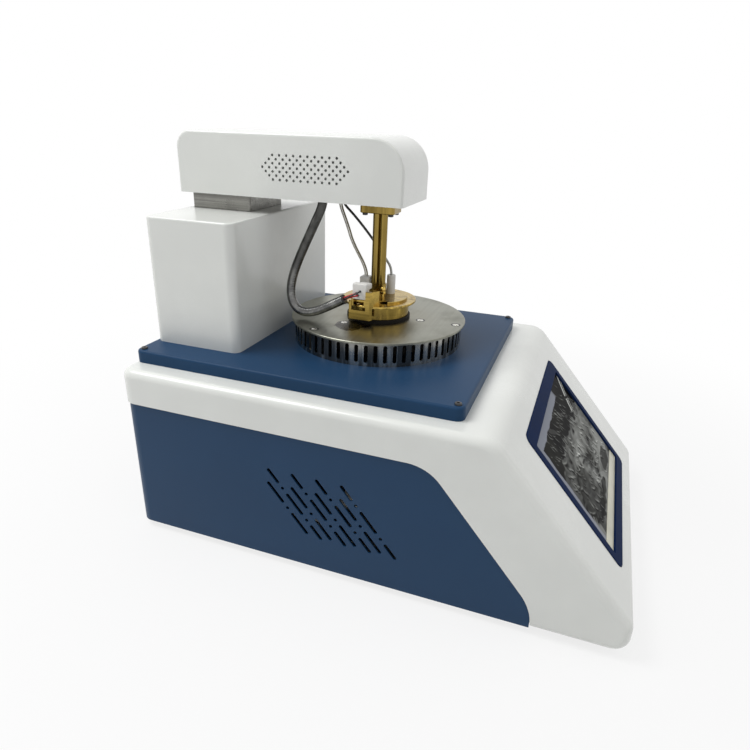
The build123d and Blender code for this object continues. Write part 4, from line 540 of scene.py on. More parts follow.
def lathe(profile, sides=36):
    """Surface of revolution about Z from (radius, height) pairs.

    A radius may be a pair (across flats, 6): its ring is then a hexagon, with radius
    r / cos(a), where a is the angle from the middle of the nearest flat.
    """
    angle = np.arange(sides) / sides * TURN
    flat = cos(pi / 6) / np.cos((angle + pi / 6) % (pi / 3) - pi / 6)
    rings = []
    for radius, height in profile:
        if isinstance(radius, tuple):
            ring = radius[0] / 2 / cos(pi / 6) * flat
        else:
            ring = np.full(sides, radius)
        rings.append(
            np.stack([ring * np.cos(angle), ring * np.sin(angle), np.full(sides, height)], -1)
        )
    return np.array(rings) * MM


def placed(points, origin, axis=(0, 0, 1), spin=0.0):
    """Points moved so that their Z lies along axis and their origin at origin (metres)."""
    turn = Vector((0, 0, 1)).rotation_difference(Vector(axis)).to_matrix()
    turn = np.array(turn @ Matrix.Rotation(spin, 3, "Z"))
    return points @ turn.T + np.array(origin, float)


def box_surface(size, bevel, sides=4):
    """Rounded box about the origin, lying on Z = 0: four corner arcs in plan, then a top bevel.

    The plan outline is a rectangle with corners of radius bevel; the rings above it shrink by
    bevel * (1 - cos t) while they rise by bevel * sin t, and end in a flat top.
    """
    x, y, z = size
    t = np.linspace(0, pi / 2, sides + 1)
    quarter = np.stack([np.cos(t), np.sin(t)], -1) * bevel
    turns = [np.array(((cos(a), sin(a)), (-sin(a), cos(a)))) for a in (0, pi / 2, pi, 3 * pi / 2)]
    corners = np.array(((1, 1), (-1, 1), (-1, -1), (1, -1))) * (x / 2 - bevel, y / 2 - bevel)
    plan = np.concatenate([quarter @ m + c for m, c in zip(turns, corners)])
    middle = np.repeat(corners, sides + 1, axis=0)
    rings = [(middle * 0, 0.0), (plan, 0.0), (plan, z - bevel)]
    for a in t[1:]:
        rings.append((middle + (plan - middle) * cos(a), z - bevel * (1 - sin(a))))
    rings.append((middle * 0, z))
    return np.array([np.column_stack([p, np.full(len(p), h)]) for p, h in rings])


def tube(path, radius, sides=20):
    """Round tube: each point of the path carries a ring across its direction.

    The ring's first axis is the world X axis made square to the direction; the second is
    their cross product. radius is a number or an array of rows by sides.
    """
    path = np.asarray(path, float)
    along = np.gradient(path, axis=0)
    along /= np.linalg.norm(along, axis=1, keepdims=True)
    side = np.array((1.0, 0.0, 0.0)) - along * along[:, :1]
    side /= np.linalg.norm(side, axis=1, keepdims=True)
    other = np.cross(along, side)
    angle = np.arange(sides) / sides * TURN
    reach = np.broadcast_to(radius, (len(path), sides))[..., None]
    return path[:, None] + reach * (
        np.cos(angle)[None, :, None] * side[:, None] + np.sin(angle)[None, :, None] * other[:, None]
    )


def slope_point(x, down, out):
    """Points on the sloping front, x across, down from its upper end and out from its surface."""
    x, down, out = np.broadcast_arrays(x, down, out)
    return (
        SLOPE_TOP
        + x[..., None] * np.array((1.0, 0.0, 0.0))
        + down[..., None] * SLOPE_DOWN
        + out[..., None] * SLOPE_OUT
    )


# ---------------------------------------------------------------- cords
def route_curve(name, route, radius=0.0):
    """NURBS curve of order 3 through its control points, which are in millimetres."""
    data = bpy.data.curves.new(name, "CURVE")
    data.dimensions = "3D"
    data.resolution_u = 16
    data.bevel_depth = radius
    data.bevel_resolution = 5
    data.use_fill_caps = True
    spline = data.splines.new("NURBS")
    spline.points.add(len(route) - 1)
    spline.points.foreach_set("co", np.array([(*(MM * c for c in p), 1.0) for p in route]).ravel())
    spline.order_u = 3
    spline.use_endpoint_u = True
    made = added(name, data)
    return made


def wire(name, route, radius, material, node):
    """A cord held at both ends, as a curve with a round section."""
    made = route_curve(name, route, radius)
    made.data.materials.append(material)
    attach(made, "head")
    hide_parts(node)


def route_line(route, step):
    """Points at equal steps of arc length along the route's NURBS curve."""
    guide = route_curve("guide", route)
    guide.data.resolution_u = 32
    bpy.context.view_layer.update()
    mesh = bpy.data.meshes.new_from_object(guide)
    points = np.empty(len(mesh.vertices) * 3)
    mesh.vertices.foreach_get("co", points)
    points = points.reshape(-1, 3)
    bpy.data.meshes.remove(mesh)
    bpy.data.objects.remove(guide)
    run = np.concatenate([[0], np.cumsum(np.linalg.norm(np.diff(points, axis=0), axis=1))])
    at = np.linspace(0, run[-1], int(run[-1] / step))
    return np.stack([np.interp(at, run, points[:, i]) for i in range(3)], -1), at


# ---------------------------------------------------------------- operators
class TesterOperator(bpy.types.Operator):
    bl_options = {"REGISTER", "UNDO"}

    def execute(self, context):
        self.make(context.scene)
        return {"FINISHED"}


class TESTER_OT_finishes(TesterOperator):
    """Give every piece of the frame its paint, metal, plastic or glass"""

    bl_idname = "tester.finishes"
    bl_label = "Frame Finishes"

    def make(self, scene):
        paint, metal = scene.tester_paint, scene.tester_metal
        white, navy = tuple(paint.white), tuple(paint.navy)
        steel, grain = tuple(metal.steel), metal.grain
        warm = (steel[0] * 0.93, steel[1] * 0.945, steel[2] * 0.85)
        brass, tarnish = tuple(metal.brass), tuple(metal.tarnish)
        sheets = {
            powder_coat("white paint", white, 0.26, paint.peel, 0.25): (
                "upper_housing arm_cover column_cover"
            ),
            powder_coat("navy paint", navy, 0.36, paint.peel * 0.6, shine=0.22): (
                "left_side_panel right_side_panel rear_panel"
            ),
            powder_coat("deck paint", navy, 0.42, paint.peel * 0.6, shine=0.13, painted_shade_radius=0.087): (
                "deck_plate"
            ),
            moulded("bezel plastic", tuple(paint.bezel), 0.42, shine=0.01): "display_bezel",
            glass_dark("display glass"): "touch_screen",
            moulded("black plastic", (0.018, 0.018, 0.020), 0.45): (
                "power_inlet cooling_fan fan_rotor display_module shutter_motor lift_motor"
            ),
            moulded("switch plastic", (0.012, 0.012, 0.014), 0.20, depth=0.00001): "power_rocker",
            moulded("seat ring", (0.010, 0.009, 0.008), 0.6, shine=0.15): "cup_seat_ring",
            moulded("foot rubber", (0.020, 0.020, 0.020), 0.80, 0.0012, 0.0001): "rubber_feet",
            soldered_board("circuit board"): "control_board",
            wool("mineral wool"): "insulation_sleeve",
            plate_steel("plate steel", warm, grain): "heater_top_plate",
            ring_steel("ring steel", steel): "guard_ring",
            brushed("sleeve steel", scaled(steel, 0.62), 0.26, grain * 2, "Y", 0.34): "lift_sleeve",
            brushed("plain steel", scaled(steel, 0.9), 0.42, grain, "Y"): (
                "base_pan power_supply arm_base_plate lift_mast lift_rack lift_pinion motor_bracket"
                " plate_pillars"
            ),
            turned_metal("turned steel", steel, scaled(steel, 0.6), 0.30, grain, CUP_AXIS): (
                "guide_rods stirrer stir_motor band_heater heater_block bearing_block"
            ),
            turned_metal("turned brass", scaled(brass, 1.08), tarnish, 0.19, grain, CUP_AXIS): (
                "lid lid_cover test_cup shutter"
            ),
            brushed("column brass", scaled(brass, 0.62), 0.20, grain * 5, "Z", 0.30): (
                "column_foot head_column head_flange shaft_bushes shutter_gear drive_sector"
            ),
            brushed("milled brass", scaled(brass, 0.92), 0.20, grain * 2, "Y", 0.2): (
                "igniter_bracket igniter_arm"
            ),
        }
        for material, nodes in sheets.items():
            for node in nodes.split():
                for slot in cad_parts[node].material_slots:
                    slot.material = material


class TESTER_OT_hose(TesterOperator):
    """Wind the flexible steel hose from the arm down to the igniter, with its end sleeve"""

    bl_idname = "tester.hose"
    bl_label = "Flexible Hose"

    def make(self, scene):
        hose = scene.tester_hose
        path, run = route_line(HOSE_ROUTE, hose.pitch / hose.samples)
        sides = 24
        around = np.arange(sides) / sides
        # Ridge height: the root of a rectified sine of the strip's advance, one lobe a turn.
        lobe = np.abs(np.sin(pi * (run[:, None] / hose.pitch + around[None, :]))) ** 0.6
        reach = hose.radius - hose.ridge * (1 - lobe)
        inner = np.full((2, sides), 3.8 * MM)
        skin = tube(path, reach, sides)
        bore = tube(path[-1:-14:-12], inner, sides)
        shell = Shell().add(np.concatenate([np.repeat(path[None, :1], sides, 1), skin, bore,
                                            np.repeat(path[None, -13:-12], sides, 1)]))
        steel = wound_steel("wound steel")
        made = shell.piece("flexible_hose_wound", steel, "head", "hose_metal", 60)
        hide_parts("flexible_hose")
        end, before = path[-1], path[-10]
        ring = ((3.8, 0.0), (4.7, 0.0), (4.95, 0.25), (4.95, 1.6), (4.8, 1.8), (4.5, 1.8))
        sleeve = placed(lathe(ring), end + (end - before) * 0.02, before - end)
        dark = moulded("sleeve rubber", (0.03, 0.03, 0.032), 0.5)
        Shell().add(sleeve).piece("hose_end_sleeve", dark, "head", "wire_black")


class TESTER_OT_wires(TesterOperator):
    """Run the sensor's twin wires, the detector's cable and the igniter's wires"""

    bl_idname = "tester.wires"
    bl_label = "Cables and Wires"

    def make(self, scene):
        black = moulded("black insulation", (0.022, 0.021, 0.020), 0.38, 0.0005)
        cream = moulded("cream insulation", (0.66, 0.63, 0.55), 0.40, 0.0005)
        red = moulded("red insulation", (0.52, 0.02, 0.03), 0.38, 0.0005)
        spread = 1.1
        khaki = moulded("khaki insulation", (0.20, 0.17, 0.085), 0.40, 0.0005)
        near = [(x, y - spread, z) for x, y, z in SENSOR_ROUTE]
        far = [(x, y + spread, z) for x, y, z in SENSOR_ROUTE]
        wire("sensor_wire_khaki", near, 0.85 * MM, khaki, "sensor_cable")
        wire("sensor_wire_pale", far, 0.8 * MM, cream, "sensor_cable")
        pale_end = sleeved("sleeved cable")
        wire("detector_wire", DETECTOR_ROUTE, 1.3 * MM, pale_end,
             "detector_cable")
        for index, route in enumerate(IGNITER_ROUTES):
            material = black if index == 2 else red
            wire(f"igniter_wire_{index + 1}", route, 0.75 * MM, material,
                 "igniter_wires")
        collar = Shell()
        profile = ((0.77, 0.0), (1.15, 0.0), (1.25, 0.15), (1.25, 1.2), (0.77, 1.2))
        for route in IGNITER_ROUTES:
            end = [c * MM for c in route[-1]]
            collar.add(placed(lathe(profile, 18), end, (-1, 0, 0)))
        dark = moulded("terminal plastic", (0.05, 0.05, 0.052), 0.35)
        collar.piece("igniter_terminals", dark, "head", "white_plastic")
        grommet = Shell()
        for place, radius in ((HOSE_ROUTE[0], 4.7), (DETECTOR_ROUTE[0], 1.3)):
            ring = ((radius + 0.05, -1.4), (radius + 0.9, -1.4), (radius + 1.6, -1.0),
                    (radius + 1.8, 0.0), (radius + 0.05, 0.0))
            origin = (place[0] * MM, place[1] * MM, ARM_BOTTOM)
            grommet.add(placed(lathe(ring), origin), closed_rows=True)
        rubber = moulded("grommet rubber", (0.02, 0.02, 0.02), 0.6)
        grommet.piece("arm_grommets", rubber, "head", "wire_black")


def socket_head(radius, height, across):
    """Screw head with a hexagon socket: rings from the socket's floor out, round and down."""
    return (
        (0.0, height * 0.35),
        ((across, 6), height * 0.35),
        ((across, 6), height),
        (across * 0.62, height),
        (radius * 0.84, height),
        (radius * 0.96, height * 0.88),
        (radius, height * 0.70),
        (radius, 0.0),
    )


def slotted_disc(radius, width, depth):
    """Flat screw head with a slot along X.

    Columns run across the slot at set heights v; each point is (u * sqrt(r^2 - v^2), v, z),
    where z is -depth inside the slot and 0 outside it.
    """
    half = width / 2
    step = np.array((-1.0, -0.92, -0.75, -0.5, -0.3))
    across = np.concatenate([step * radius, (-half, -half), (half, half), -step[::-1] * radius])
    z = np.array([0] * 6 + [-depth, -depth] + [0] * 6, float)
    u = np.linspace(-1, 1, 9)[:, None]
    x = u * np.sqrt(np.maximum(radius**2 - across**2, 0))[None]
    y = np.broadcast_to(across, x.shape)
    return np.stack([x, y, np.broadcast_to(z, x.shape)], -1) * MM


class TESTER_OT_screws(TesterOperator):
    """Put slotted heads in the plate and socket heads on the deck and under the head flange"""

    bl_idname = "tester.screws"
    bl_label = "Screws"

    def make(self, scene):
        metal = scene.tester_metal
        steel = turned_metal("screw steel", scaled(metal.steel, 2.2), scaled(metal.steel, 1.6), 0.3,
                             metal.grain, (0.0, 0.0))
        black = moulded("blackened screws", (0.025, 0.024, 0.024), 0.34, 0.0004)
        plate = Shell()
        for index, place in enumerate(PLATE_SCREWS):
            origin = (*place, PLATE_TOP - 0.00002)
            spin = 0.6 + 1.9 * index
            plate.add(placed(slotted_disc(3.3, 1.5, 1.6), origin, spin=spin))
            cone = lathe(((3.3, 0.0), (1.5, -1.95), (1.5, -4.0), (0.0, -4.0)))
            plate.add(placed(cone, origin))
        made = plate.piece("plate_screws_slotted", steel, "base", "stainless", 30)
        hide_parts("top_plate_screws")
        low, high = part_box("deck_screws")
        deck = Shell()
        for x in (low.x + 0.0032, high.x - 0.0032):
            for y in (low.y + 0.0032, high.y - 0.0032):
                head = placed(lathe(socket_head(3.2, 1.8, 2.6)), (x, y, DECK_TOP), spin=x * 90)
                deck.add(head)
        made = deck.piece("deck_screws_socket", black, "base", "dark_steel", 30)
        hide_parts("deck_screws")
        low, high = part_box("head_screws")
        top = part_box("head_flange")[0].z
        under = Shell()
        for x in (low.x + 0.0027, high.x - 0.0027):
            for y in (low.y + 0.0027, high.y - 0.0027):
                head = lathe(socket_head(2.7, 2.4, 2.5))
                under.add(placed(head, (x, y, top), (0, 0, -1), y * 70))
        made = under.piece("head_screws_socket", black, "head", "dark_steel", 30)
        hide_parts("head_screws")


class TESTER_OT_fittings(TesterOperator):
    """Make the igniter's insulating block, both sensors' bodies and the brass stud on the lid"""

    bl_idname = "tester.fittings"
    bl_label = "Head Fittings"

    def make(self, scene):
        white = moulded("white insulator", (0.76, 0.75, 0.72), 0.40)
        grey = moulded("grey insulator", (0.72, 0.72, 0.70), 0.42)
        low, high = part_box("igniter_block")
        block_middle = (low + high) / 2
        front = box_surface(high - low, 0.0012)
        shelf = box_surface((0.0090, 0.0120, 0.0050), 0.0010)
        block = Shell()
        block.add(front + np.array((block_middle.x, block_middle.y, low.z)))
        block.add(shelf + np.array((high.x + 0.0043, block_middle.y - 0.0016, high.z - 0.0066)))
        made = block.piece("igniter_block_moulded", white, "head", "white_plastic", 30)
        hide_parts("igniter_block")
        low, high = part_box("flash_detector")
        x, y = (low.x + high.x) / 2 * 1000, (low.y + high.y) / 2 * 1000
        body = ((0.0, low.z * 1000), (4.4, low.z * 1000), (4.6, 244.2), (4.6, 263.2), (4.45, 263.7),
                (4.0, 264.0), (2.1, 264.1), (1.9, 263.3), (0.0, 263.3))
        made = Shell().add(placed(lathe(body), (x * MM, y * MM, 0))).piece(
            "detector_body", white, "head", "white_plastic", 30)
        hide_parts("flash_detector")
        low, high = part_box("temperature_probe")
        x, y, _ = middle(low, high)
        stem = ((0.0, low.z * 1000), (1.2, low.z * 1000 + 0.4), (1.6, low.z * 1000 + 1.4),
                (1.6, 254.0), (0.0, 254.0))
        plug = box_surface((0.0108, 0.0108, 0.0096), 0.0011)
        collar = ((2.6, 0.0), (2.6, 0.5), (2.2, 0.9), (0.0, 0.9))
        steel = turned_metal("stem steel", tuple(scene.tester_metal.steel), (0.2, 0.2, 0.19), 0.25,
                             0.0004, (x, y))
        made = Shell().add(placed(lathe(stem, 18), (x, y, 0))).piece(
            "probe_stem", steel, "head", "stainless")
        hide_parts("temperature_probe")
        head = Shell().add(plug + np.array((x, y, high.z - 0.0102)))
        head.add(placed(lathe(collar, 18), (x, y, high.z - 0.0007)))
        head.piece("probe_plug", grey, "head", "grey_plastic", 30)
        metal = scene.tester_metal
        bright = turned_metal("stud brass", scaled(metal.brass, 1.25), scaled(metal.brass, 0.6),
                              0.16, 0.0006, STUD)
        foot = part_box("lid_cover")[1].z
        stud = ((0.0, 0.0), (1.5, 0.0), (1.5, 5.6), ((5.0, 6), 5.6), ((5.2, 6), 6.0),
                ((5.2, 6), 8.0), ((5.0, 6), 8.3), (1.9, 8.5), (1.9, 8.9), (2.4, 9.1), (2.6, 9.9), (2.5, 11.2),
                (2.0, 12.4), (1.1, 13.1), (0.0, 13.3))
        Shell().add(placed(lathe(stud), (*STUD, foot))).piece(
            "lid_stud", bright, "head", "brass", 35)


class TESTER_OT_display(TesterOperator):
    """Lay the wrinkled protective film and the bare pale strip on the display"""

    bl_idname = "tester.display"
    bl_label = "Display"

    def make(self, scene):
        screen = scene.tester_screen
        rng = np.random.default_rng(7)
        columns, rows = 300, 190
        width, height = SCREEN_SIZE[0] - 0.0008, SCREEN_SIZE[1] - 0.0128
        x = np.linspace(-width / 2, width / 2, columns)[None, :]
        down = SCREEN_MIDDLE - SCREEN_SIZE[1] / 2 + 0.0004 + np.linspace(0, height, rows)[:, None]
        u, v = np.broadcast_arrays(x / width + 0.5, (down - down[0, 0]) / height)
        ragged = 0.0
        for octave in np.repeat((1.0, 2.6, 6.0), 8):
            a, b, c = rng.uniform(-24, 24), rng.uniform(-16, 16), rng.uniform(0, TURN)
            ragged = ragged + np.sin(octave * (a * u + b * v) + c) / octave**0.7 / 8
        skin, glare = self.glare(u, v, ragged)
        creases, shine = self.creases(u, v, screen.bubbles, rng)
        # painted highlights of the blisters join the painted reflection
        glare = np.clip(glare + shine * (0.34 + 1.5 * skin), 0, 1)
        edge = np.minimum(np.minimum(u, 1 - u) * 1.6, np.minimum(v, 1 - v))
        out = np.clip(creases, 0, 1.6) * np.clip(edge / 0.06, 0, 1) * screen.wrinkle
        level = GLASS_LEVEL + 0.00015
        top = slope_point(x, down, level + out)
        foot = slope_point(x, down, np.full_like(out, GLASS_LEVEL + 0.00004))
        rim = np.concatenate([top[0], top[1:, -1], top[-1, -2::-1], top[-2:0:-1, 0]])
        rim_foot = np.concatenate([foot[0], foot[1:, -1], foot[-1, -2::-1], foot[-2:0:-1, 0]])
        film = film_skin("film", screen.border)
        shell = Shell().add(top, closed_columns=False).add(np.array([rim, rim_foot]))
        made = shell.piece("display_film", film, "base", "screen_glass", 80)
        points = np.empty(len(made.data.vertices) * 3)
        made.data.vertices.foreach_get("co", points)
        points = points.reshape(-1, 3)
        column = np.rint((points[:, 0] + width / 2) / width * (columns - 1)).astype(int)
        along = (points - SLOPE_TOP) @ SLOPE_DOWN - down[0, 0]
        row = np.rint(along / height * (rows - 1)).astype(int)
        values = glare[np.clip(row, 0, rows - 1), np.clip(column, 0, columns - 1)]
        made.data.attributes.new("glare", "FLOAT", "POINT").data.foreach_set("value", values)
        strip = moulded("strip", (0.62, 0.61, 0.50), 0.35)
        bar = box_surface((SCREEN_SIZE[0] - 0.0008, 0.0112, 0.0006), 0.0003)
        turn = np.array(((1, 0, 0), -SLOPE_DOWN, SLOPE_OUT), float)
        middle = slope_point(
            np.array(0.0),
            np.array(SCREEN_MIDDLE + SCREEN_SIZE[1] / 2 - 0.0062),
            np.array(GLASS_LEVEL),
        )
        Shell().add(bar @ turn + middle).piece(
            "display_strip", strip, "base", "grey_plastic"
        )

    def patch(self, u, v, ragged, place):
        """1 inside an ellipse (middle, half sizes, tilt) and 0 outside, with a ragged edge."""
        cu, cv, ru, rv, tilt, _ = place
        du, dv = u - cu, v - cv
        long = (du * cos(tilt) + dv * sin(tilt)) / ru
        short = (dv * cos(tilt) - du * sin(tilt)) / rv
        return np.clip((1.0 - np.hypot(long, short) + ragged * 1.3) / 0.12, 0, 1)

    def glare(self, u, v, ragged):
        """Painted reflection: where the loose skin reflects the room, and how strongly, from 0 to 1.

        The skin lies beyond a ragged line across the display. A blister sealed in it is a dark
        ellipse inside a broken black ring (beads: a sine of the angle about its middle), and
        the fold is two thin bright lines: bells of the distance from a bowed line.
        """
        loose = np.clip((v - 0.365 - 0.12 * (u - 0.6) ** 2 - 0.16 * ragged) / 0.03, 0, 1)
        streak = np.sin(52 * v + 21 * u + 9 * ragged) * np.sin(17 * v - 31 * u + 5 * ragged)
        near = np.clip((u - 0.16 - 0.3 * ragged) / 0.10, 0, 1)
        skin = loose * (0.24 + 0.07 * streak + 0.26 * ragged) * (0.35 + 0.65 * near)
        angle = np.arctan2((v - 0.76) / 0.20, (u - 0.33) / 0.27)
        reach = np.hypot((u - 0.33) / 0.27, (v - 0.76) / 0.20) + 0.22 * ragged
        inside = np.clip((1.0 - reach) / 0.10, 0, 1)
        skin *= 1 - inside * (0.62 - 0.5 * np.clip(ragged * 3, 0, 1))
        for place in GLARE_PATCHES:
            skin = np.maximum(skin, self.patch(u, v, ragged, place) * place[5])
        for place in DIMMED_GLARE_PATCHES:
            skin *= 1 - 0.85 * self.patch(u, v, ragged, place)
        beads = np.clip(np.sin(angle * 17 + ragged * 12) * 2.0 + 1.5, 0, 1)
        ring = np.exp(-(((reach - 1.0) / 0.11) ** 2)) * beads
        glare = skin * (1 - 0.98 * ring)
        start, end = np.array((1.0, 0.07)), np.array((0.82, 0.40))
        run = (end - start) / np.linalg.norm(end - start)
        along = (u - start[0]) * run[0] + (v - start[1]) * run[1]
        across = (v - start[1]) * run[0] - (u - start[0]) * run[1] - 0.012 * np.sin(along * 9)
        held = np.clip((0.34 - along) / 0.02, 0, 1)
        glare *= 1 - 0.9 * held * np.exp(-((across / 0.055) ** 2))
        lines = np.exp(-(((across - 0.010) / 0.008) ** 2))
        lines += 0.6 * np.exp(-(((across + 0.022) / 0.005) ** 2))
        breaks = np.clip(1.4 - 3 * np.exp(-(((along - 0.19) / 0.012) ** 2)), 0, 1)
        return skin, np.clip(glare + 1.2 * lines * held * breaks, 0, 1)

    def creases(self, u, v, bubbles, rng):
        """Height and painted highlight (shine) of small crescents: the bright side of each bell-shaped
        blister.

        A blister is exp(-(a^2 + b^2)) in its own turned axes, and its shine the positive part
        of that bell less the same bell moved across it by half its width.
        """
        height, shine = np.zeros_like(u), np.zeros_like(u)
        for _ in range(bubbles):
            cu, cv = rng.uniform(0.08, 0.97), rng.uniform(0.06, 0.97)
            size, slim = rng.uniform(0.004, 0.011), rng.uniform(2.0, 4.5)
            tilt = rng.normal(1.0, 0.35)
            du, dv = (u - cu) * 1.6, v - cv
            along = (du * cos(tilt) + dv * sin(tilt)) / (size * slim)
            across = (dv * cos(tilt) - du * sin(tilt)) / size + 0.5 * along**2
            bell = np.exp(-(along**2) - across**2)
            height += bell * 0.6
            shine += np.maximum(bell - 1.1 * np.exp(-(along**2) - (across - 0.8) ** 2), 0)
            shine -= 0.35 * np.maximum(np.exp(-(along**2) - (across - 1.2) ** 2) - bell, 0)
        return height, shine


class TESTER_OT_rear(TesterOperator):
    """Make the fan's wire guard with its screws, and the inlet's pins and switch marks"""

    bl_idname = "tester.rear"
    bl_label = "Rear Fittings"

    def make(self, scene):
        low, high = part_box("fan_guard")
        x, _, z = middle(low, high)
        y = high.y - 0.0009
        steel = brushed("guard wire", tuple(scene.tester_metal.steel), 0.22, 0.0004, "X", 0.05)
        guard = Shell()
        angle = np.linspace(0, TURN, 72, endpoint=False)
        turn, section = np.meshgrid(angle, np.linspace(0, TURN, 12, endpoint=False), indexing="ij")
        for radius in (10, 19, 28, 37):
            reach = radius * MM + 0.0008 * np.cos(section)
            ring = np.stack([x + reach * np.cos(turn), y + 0.0008 * np.sin(section),
                             z + reach * np.sin(turn)], -1)
            guard.add(ring, closed_rows=True)
        for side in (-1, 1):
            bar = lathe(((0.0, -50.5), (0.8, -50.5), (0.8, 50.5), (0.0, 50.5)), 12)
            guard.add(placed(bar, (x, y - 0.0001, z), (side, 0, 1)))
        made = guard.piece("fan_guard_wire", steel, "base", "stainless")
        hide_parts("fan_guard")
        heads = Shell()
        for sx in (-1, 1):
            for sz in (-1, 1):
                place = (x + sx * 0.03575, 0.2492, z + sz * 0.03575)
                head = lathe(socket_head(3.2, 1.7, 2.4))
                heads.add(placed(head, place, (0, 1, 0)))
        black = moulded("rear screws", (0.02, 0.02, 0.02), 0.32)
        heads.piece("fan_screws", black, "base", "black_plastic", 30)
        pins = Shell()
        for px, pz in ((-99, 49), (-92, 53), (-85, 49)):
            blade = box_surface((0.0022, 0.0042, 0.0081), 0.0005)
            turned = placed(blade, (px * MM, 0.2345, pz * MM), (0, 1, 0))
            pins.add(turned)
        brass = brushed("pin metal", (0.60, 0.58, 0.52), 0.25, 0.0003, "Y")
        pins.piece("inlet_pins", brass, "base", "brass")
        marks = Shell()
        rocker_low, rocker_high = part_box("power_rocker")
        rx, _, rz = middle(rocker_low, rocker_high)
        tilt = 0.8 / 6.2  # lean of the rocker's two halves
        ring = ((1.0, -0.2), (1.0, 0.08), (1.45, 0.08), (1.45, -0.2))
        upper = rocker_high.y - 0.0003
        marks.add(placed(lathe(ring, 24), (rx, upper - 0.0001, rz - 0.0036), (0, 1, tilt)),
                  closed_rows=True)
        bar = box_surface((0.0004, 0.0028, 0.0003), 0.0001)
        marks.add(placed(bar, (rx, upper - 0.0003, rz + 0.0036), (0, 1, -tilt)))
        pale = moulded("mark paint", (0.75, 0.75, 0.75), 0.5)
        marks.piece("switch_marks", pale, "mains_switch", "black_gloss")


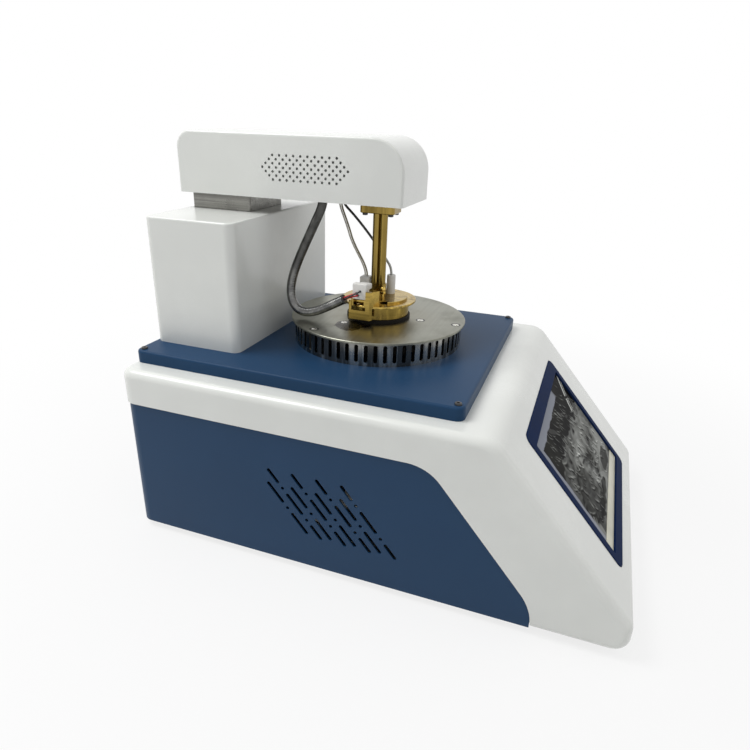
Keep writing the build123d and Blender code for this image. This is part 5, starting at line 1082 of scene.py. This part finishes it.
class TESTER_OT_stage(TesterOperator):
    """Set the floor, the soft lamps, the world and the camera at the photograph's angle"""

    bl_idname = "tester.stage"
    bl_label = "Stage"

    def make(self, scene):
        stage = scene.tester_stage
        self.camera(scene)
        self.floor(stage)
        self.world(scene, stage)
        self.lamp("key", (-0.45, 0.95, 1.65), (0, 0, 0.15), 0.8, stage.key)
        self.lamp("fill", (0.25, -1.9, 0.9), (0, -0.1, 0.2), 1.2, stage.fill)
        scene.view_settings.view_transform = "Standard"

    def camera(self, scene):
        """Camera found from the photograph: place, yaw from +X towards +Y, pitch and roll."""
        yaw, pitch, roll = radians(20.31), radians(-24.60), radians(1.63)
        ahead = Vector((cos(yaw) * cos(pitch), sin(yaw) * cos(pitch), sin(pitch)))
        right = Vector((sin(yaw), -cos(yaw), 0.0))
        up = right.cross(ahead)
        right, up = (
            right * cos(roll) + up * sin(roll),
            up * cos(roll) - right * sin(roll),
        )
        turn = Matrix((right, up, -ahead)).transposed().to_4x4()
        data = bpy.data.cameras.new("camera")
        data.sensor_width = 36.0
        data.lens = 613.24 / 750 * 36.0
        data.shift_x = 12.5 / 750
        data.shift_y = 20.17 / 750
        data.clip_start = 0.05
        made = bpy.data.objects.new("camera", data)
        made.matrix_world = Matrix.Translation((-0.6007, -0.1681, 0.4175)) @ turn
        scene.collection.objects.link(made)
        scene.camera = made

    def floor(self, stage):
        """Flat square floor whose far part shows as white, so that no horizon is seen."""
        mesh = bpy.data.meshes.new("floor")
        reach = 14.0
        corners = [(sx * reach, sy * reach, 0.0) for sx, sy in ((-1, -1), (1, -1), (1, 1), (-1, 1))]
        mesh.from_pydata(corners, [], [(0, 1, 2, 3)])
        made = added("floor", mesh)
        f = Finish("floor")
        x, y, _ = f.axes()
        far = f.distance(x, y, (0.0, 0.0)).step(0.30, 0.85) * 0.22 + 0.78
        shown = f.seen() * far
        matt = f.node("ShaderNodeBsdfDiffuse", None, {"Color": (*stage.floor, 1.0)})
        white = f.node("ShaderNodeEmission", None, {"Color": (1, 1, 1, 1), "Strength": 1.0})
        both = f.node("ShaderNodeMixShader", None, {0: shown, 1: matt, 2: white})
        f.node("ShaderNodeOutputMaterial", None, {"Surface": both})
        mesh.materials.append(f.material)

    def world(self, scene, stage):
        """White where the camera or a reflection sees it; lighting brighter from above."""
        world = bpy.data.worlds.new("studio")
        world.use_nodes = True
        f = Finish("studio", world.node_tree)
        _, _, height = f.axes(f.node("ShaderNodeTexCoord", output="Generated"))
        above = height.step(0.0, 1.0) * (stage.zenith - stage.ambient) + stage.ambient
        shown = f.seen()
        back = f.node("ShaderNodeBackground", None, {
            "Color": (1, 1, 1, 1), "Strength": shown + above * (1.0 - shown)})
        f.node("ShaderNodeOutputWorld", None, {"Surface": back})
        scene.world = world

    def lamp(self, name, place, aim, size, power):
        data = bpy.data.lights.new(name, "AREA")
        data.shape = "SQUARE"
        data.size = size
        data.energy = power
        made = added(name, data)
        made.location = place
        made.rotation_euler = (Vector(aim) - Vector(place)).to_track_quat("-Z", "Y").to_euler()


class TESTER_PT_panel(bpy.types.Panel):
    bl_label = "Flash Point Tester"
    bl_idname = "TESTER_PT_panel"
    bl_space_type = "VIEW_3D"
    bl_region_type = "UI"
    bl_category = "Tester"

    def draw(self, context):
        for group in SETTINGS:
            settings = getattr(context.scene, group)
            box = self.layout.box()
            for key in settings.__annotations__:
                box.prop(settings, key)
        for operator in OPERATORS:
            self.layout.operator(operator.bl_idname)


SETTINGS = {
    "tester_paint": TesterPaint,
    "tester_metal": TesterMetal,
    "tester_hose": TesterHose,
    "tester_screen": TesterScreen,
    "tester_stage": TesterStage,
}
OPERATORS = (
    TESTER_OT_stage,
    TESTER_OT_hose,
    TESTER_OT_wires,
    TESTER_OT_finishes,
    TESTER_OT_screws,
    TESTER_OT_fittings,
    TESTER_OT_display,
    TESTER_OT_rear,
)


def register():
    for group, settings in SETTINGS.items():
        bpy.utils.register_class(settings)
        setattr(bpy.types.Scene, group, PointerProperty(type=settings))
    for operator in OPERATORS:
        bpy.utils.register_class(operator)
    bpy.utils.register_class(TESTER_PT_panel)


def unregister():
    bpy.utils.unregister_class(TESTER_PT_panel)
    for operator in reversed(OPERATORS):
        bpy.utils.unregister_class(operator)
    for group, settings in SETTINGS.items():
        delattr(bpy.types.Scene, group)
        bpy.utils.unregister_class(settings)


def main():
    register()
    for operator in OPERATORS:
        getattr(bpy.ops.tester, operator.bl_idname.split(".")[1])()


if __name__ == "__main__":
    main()
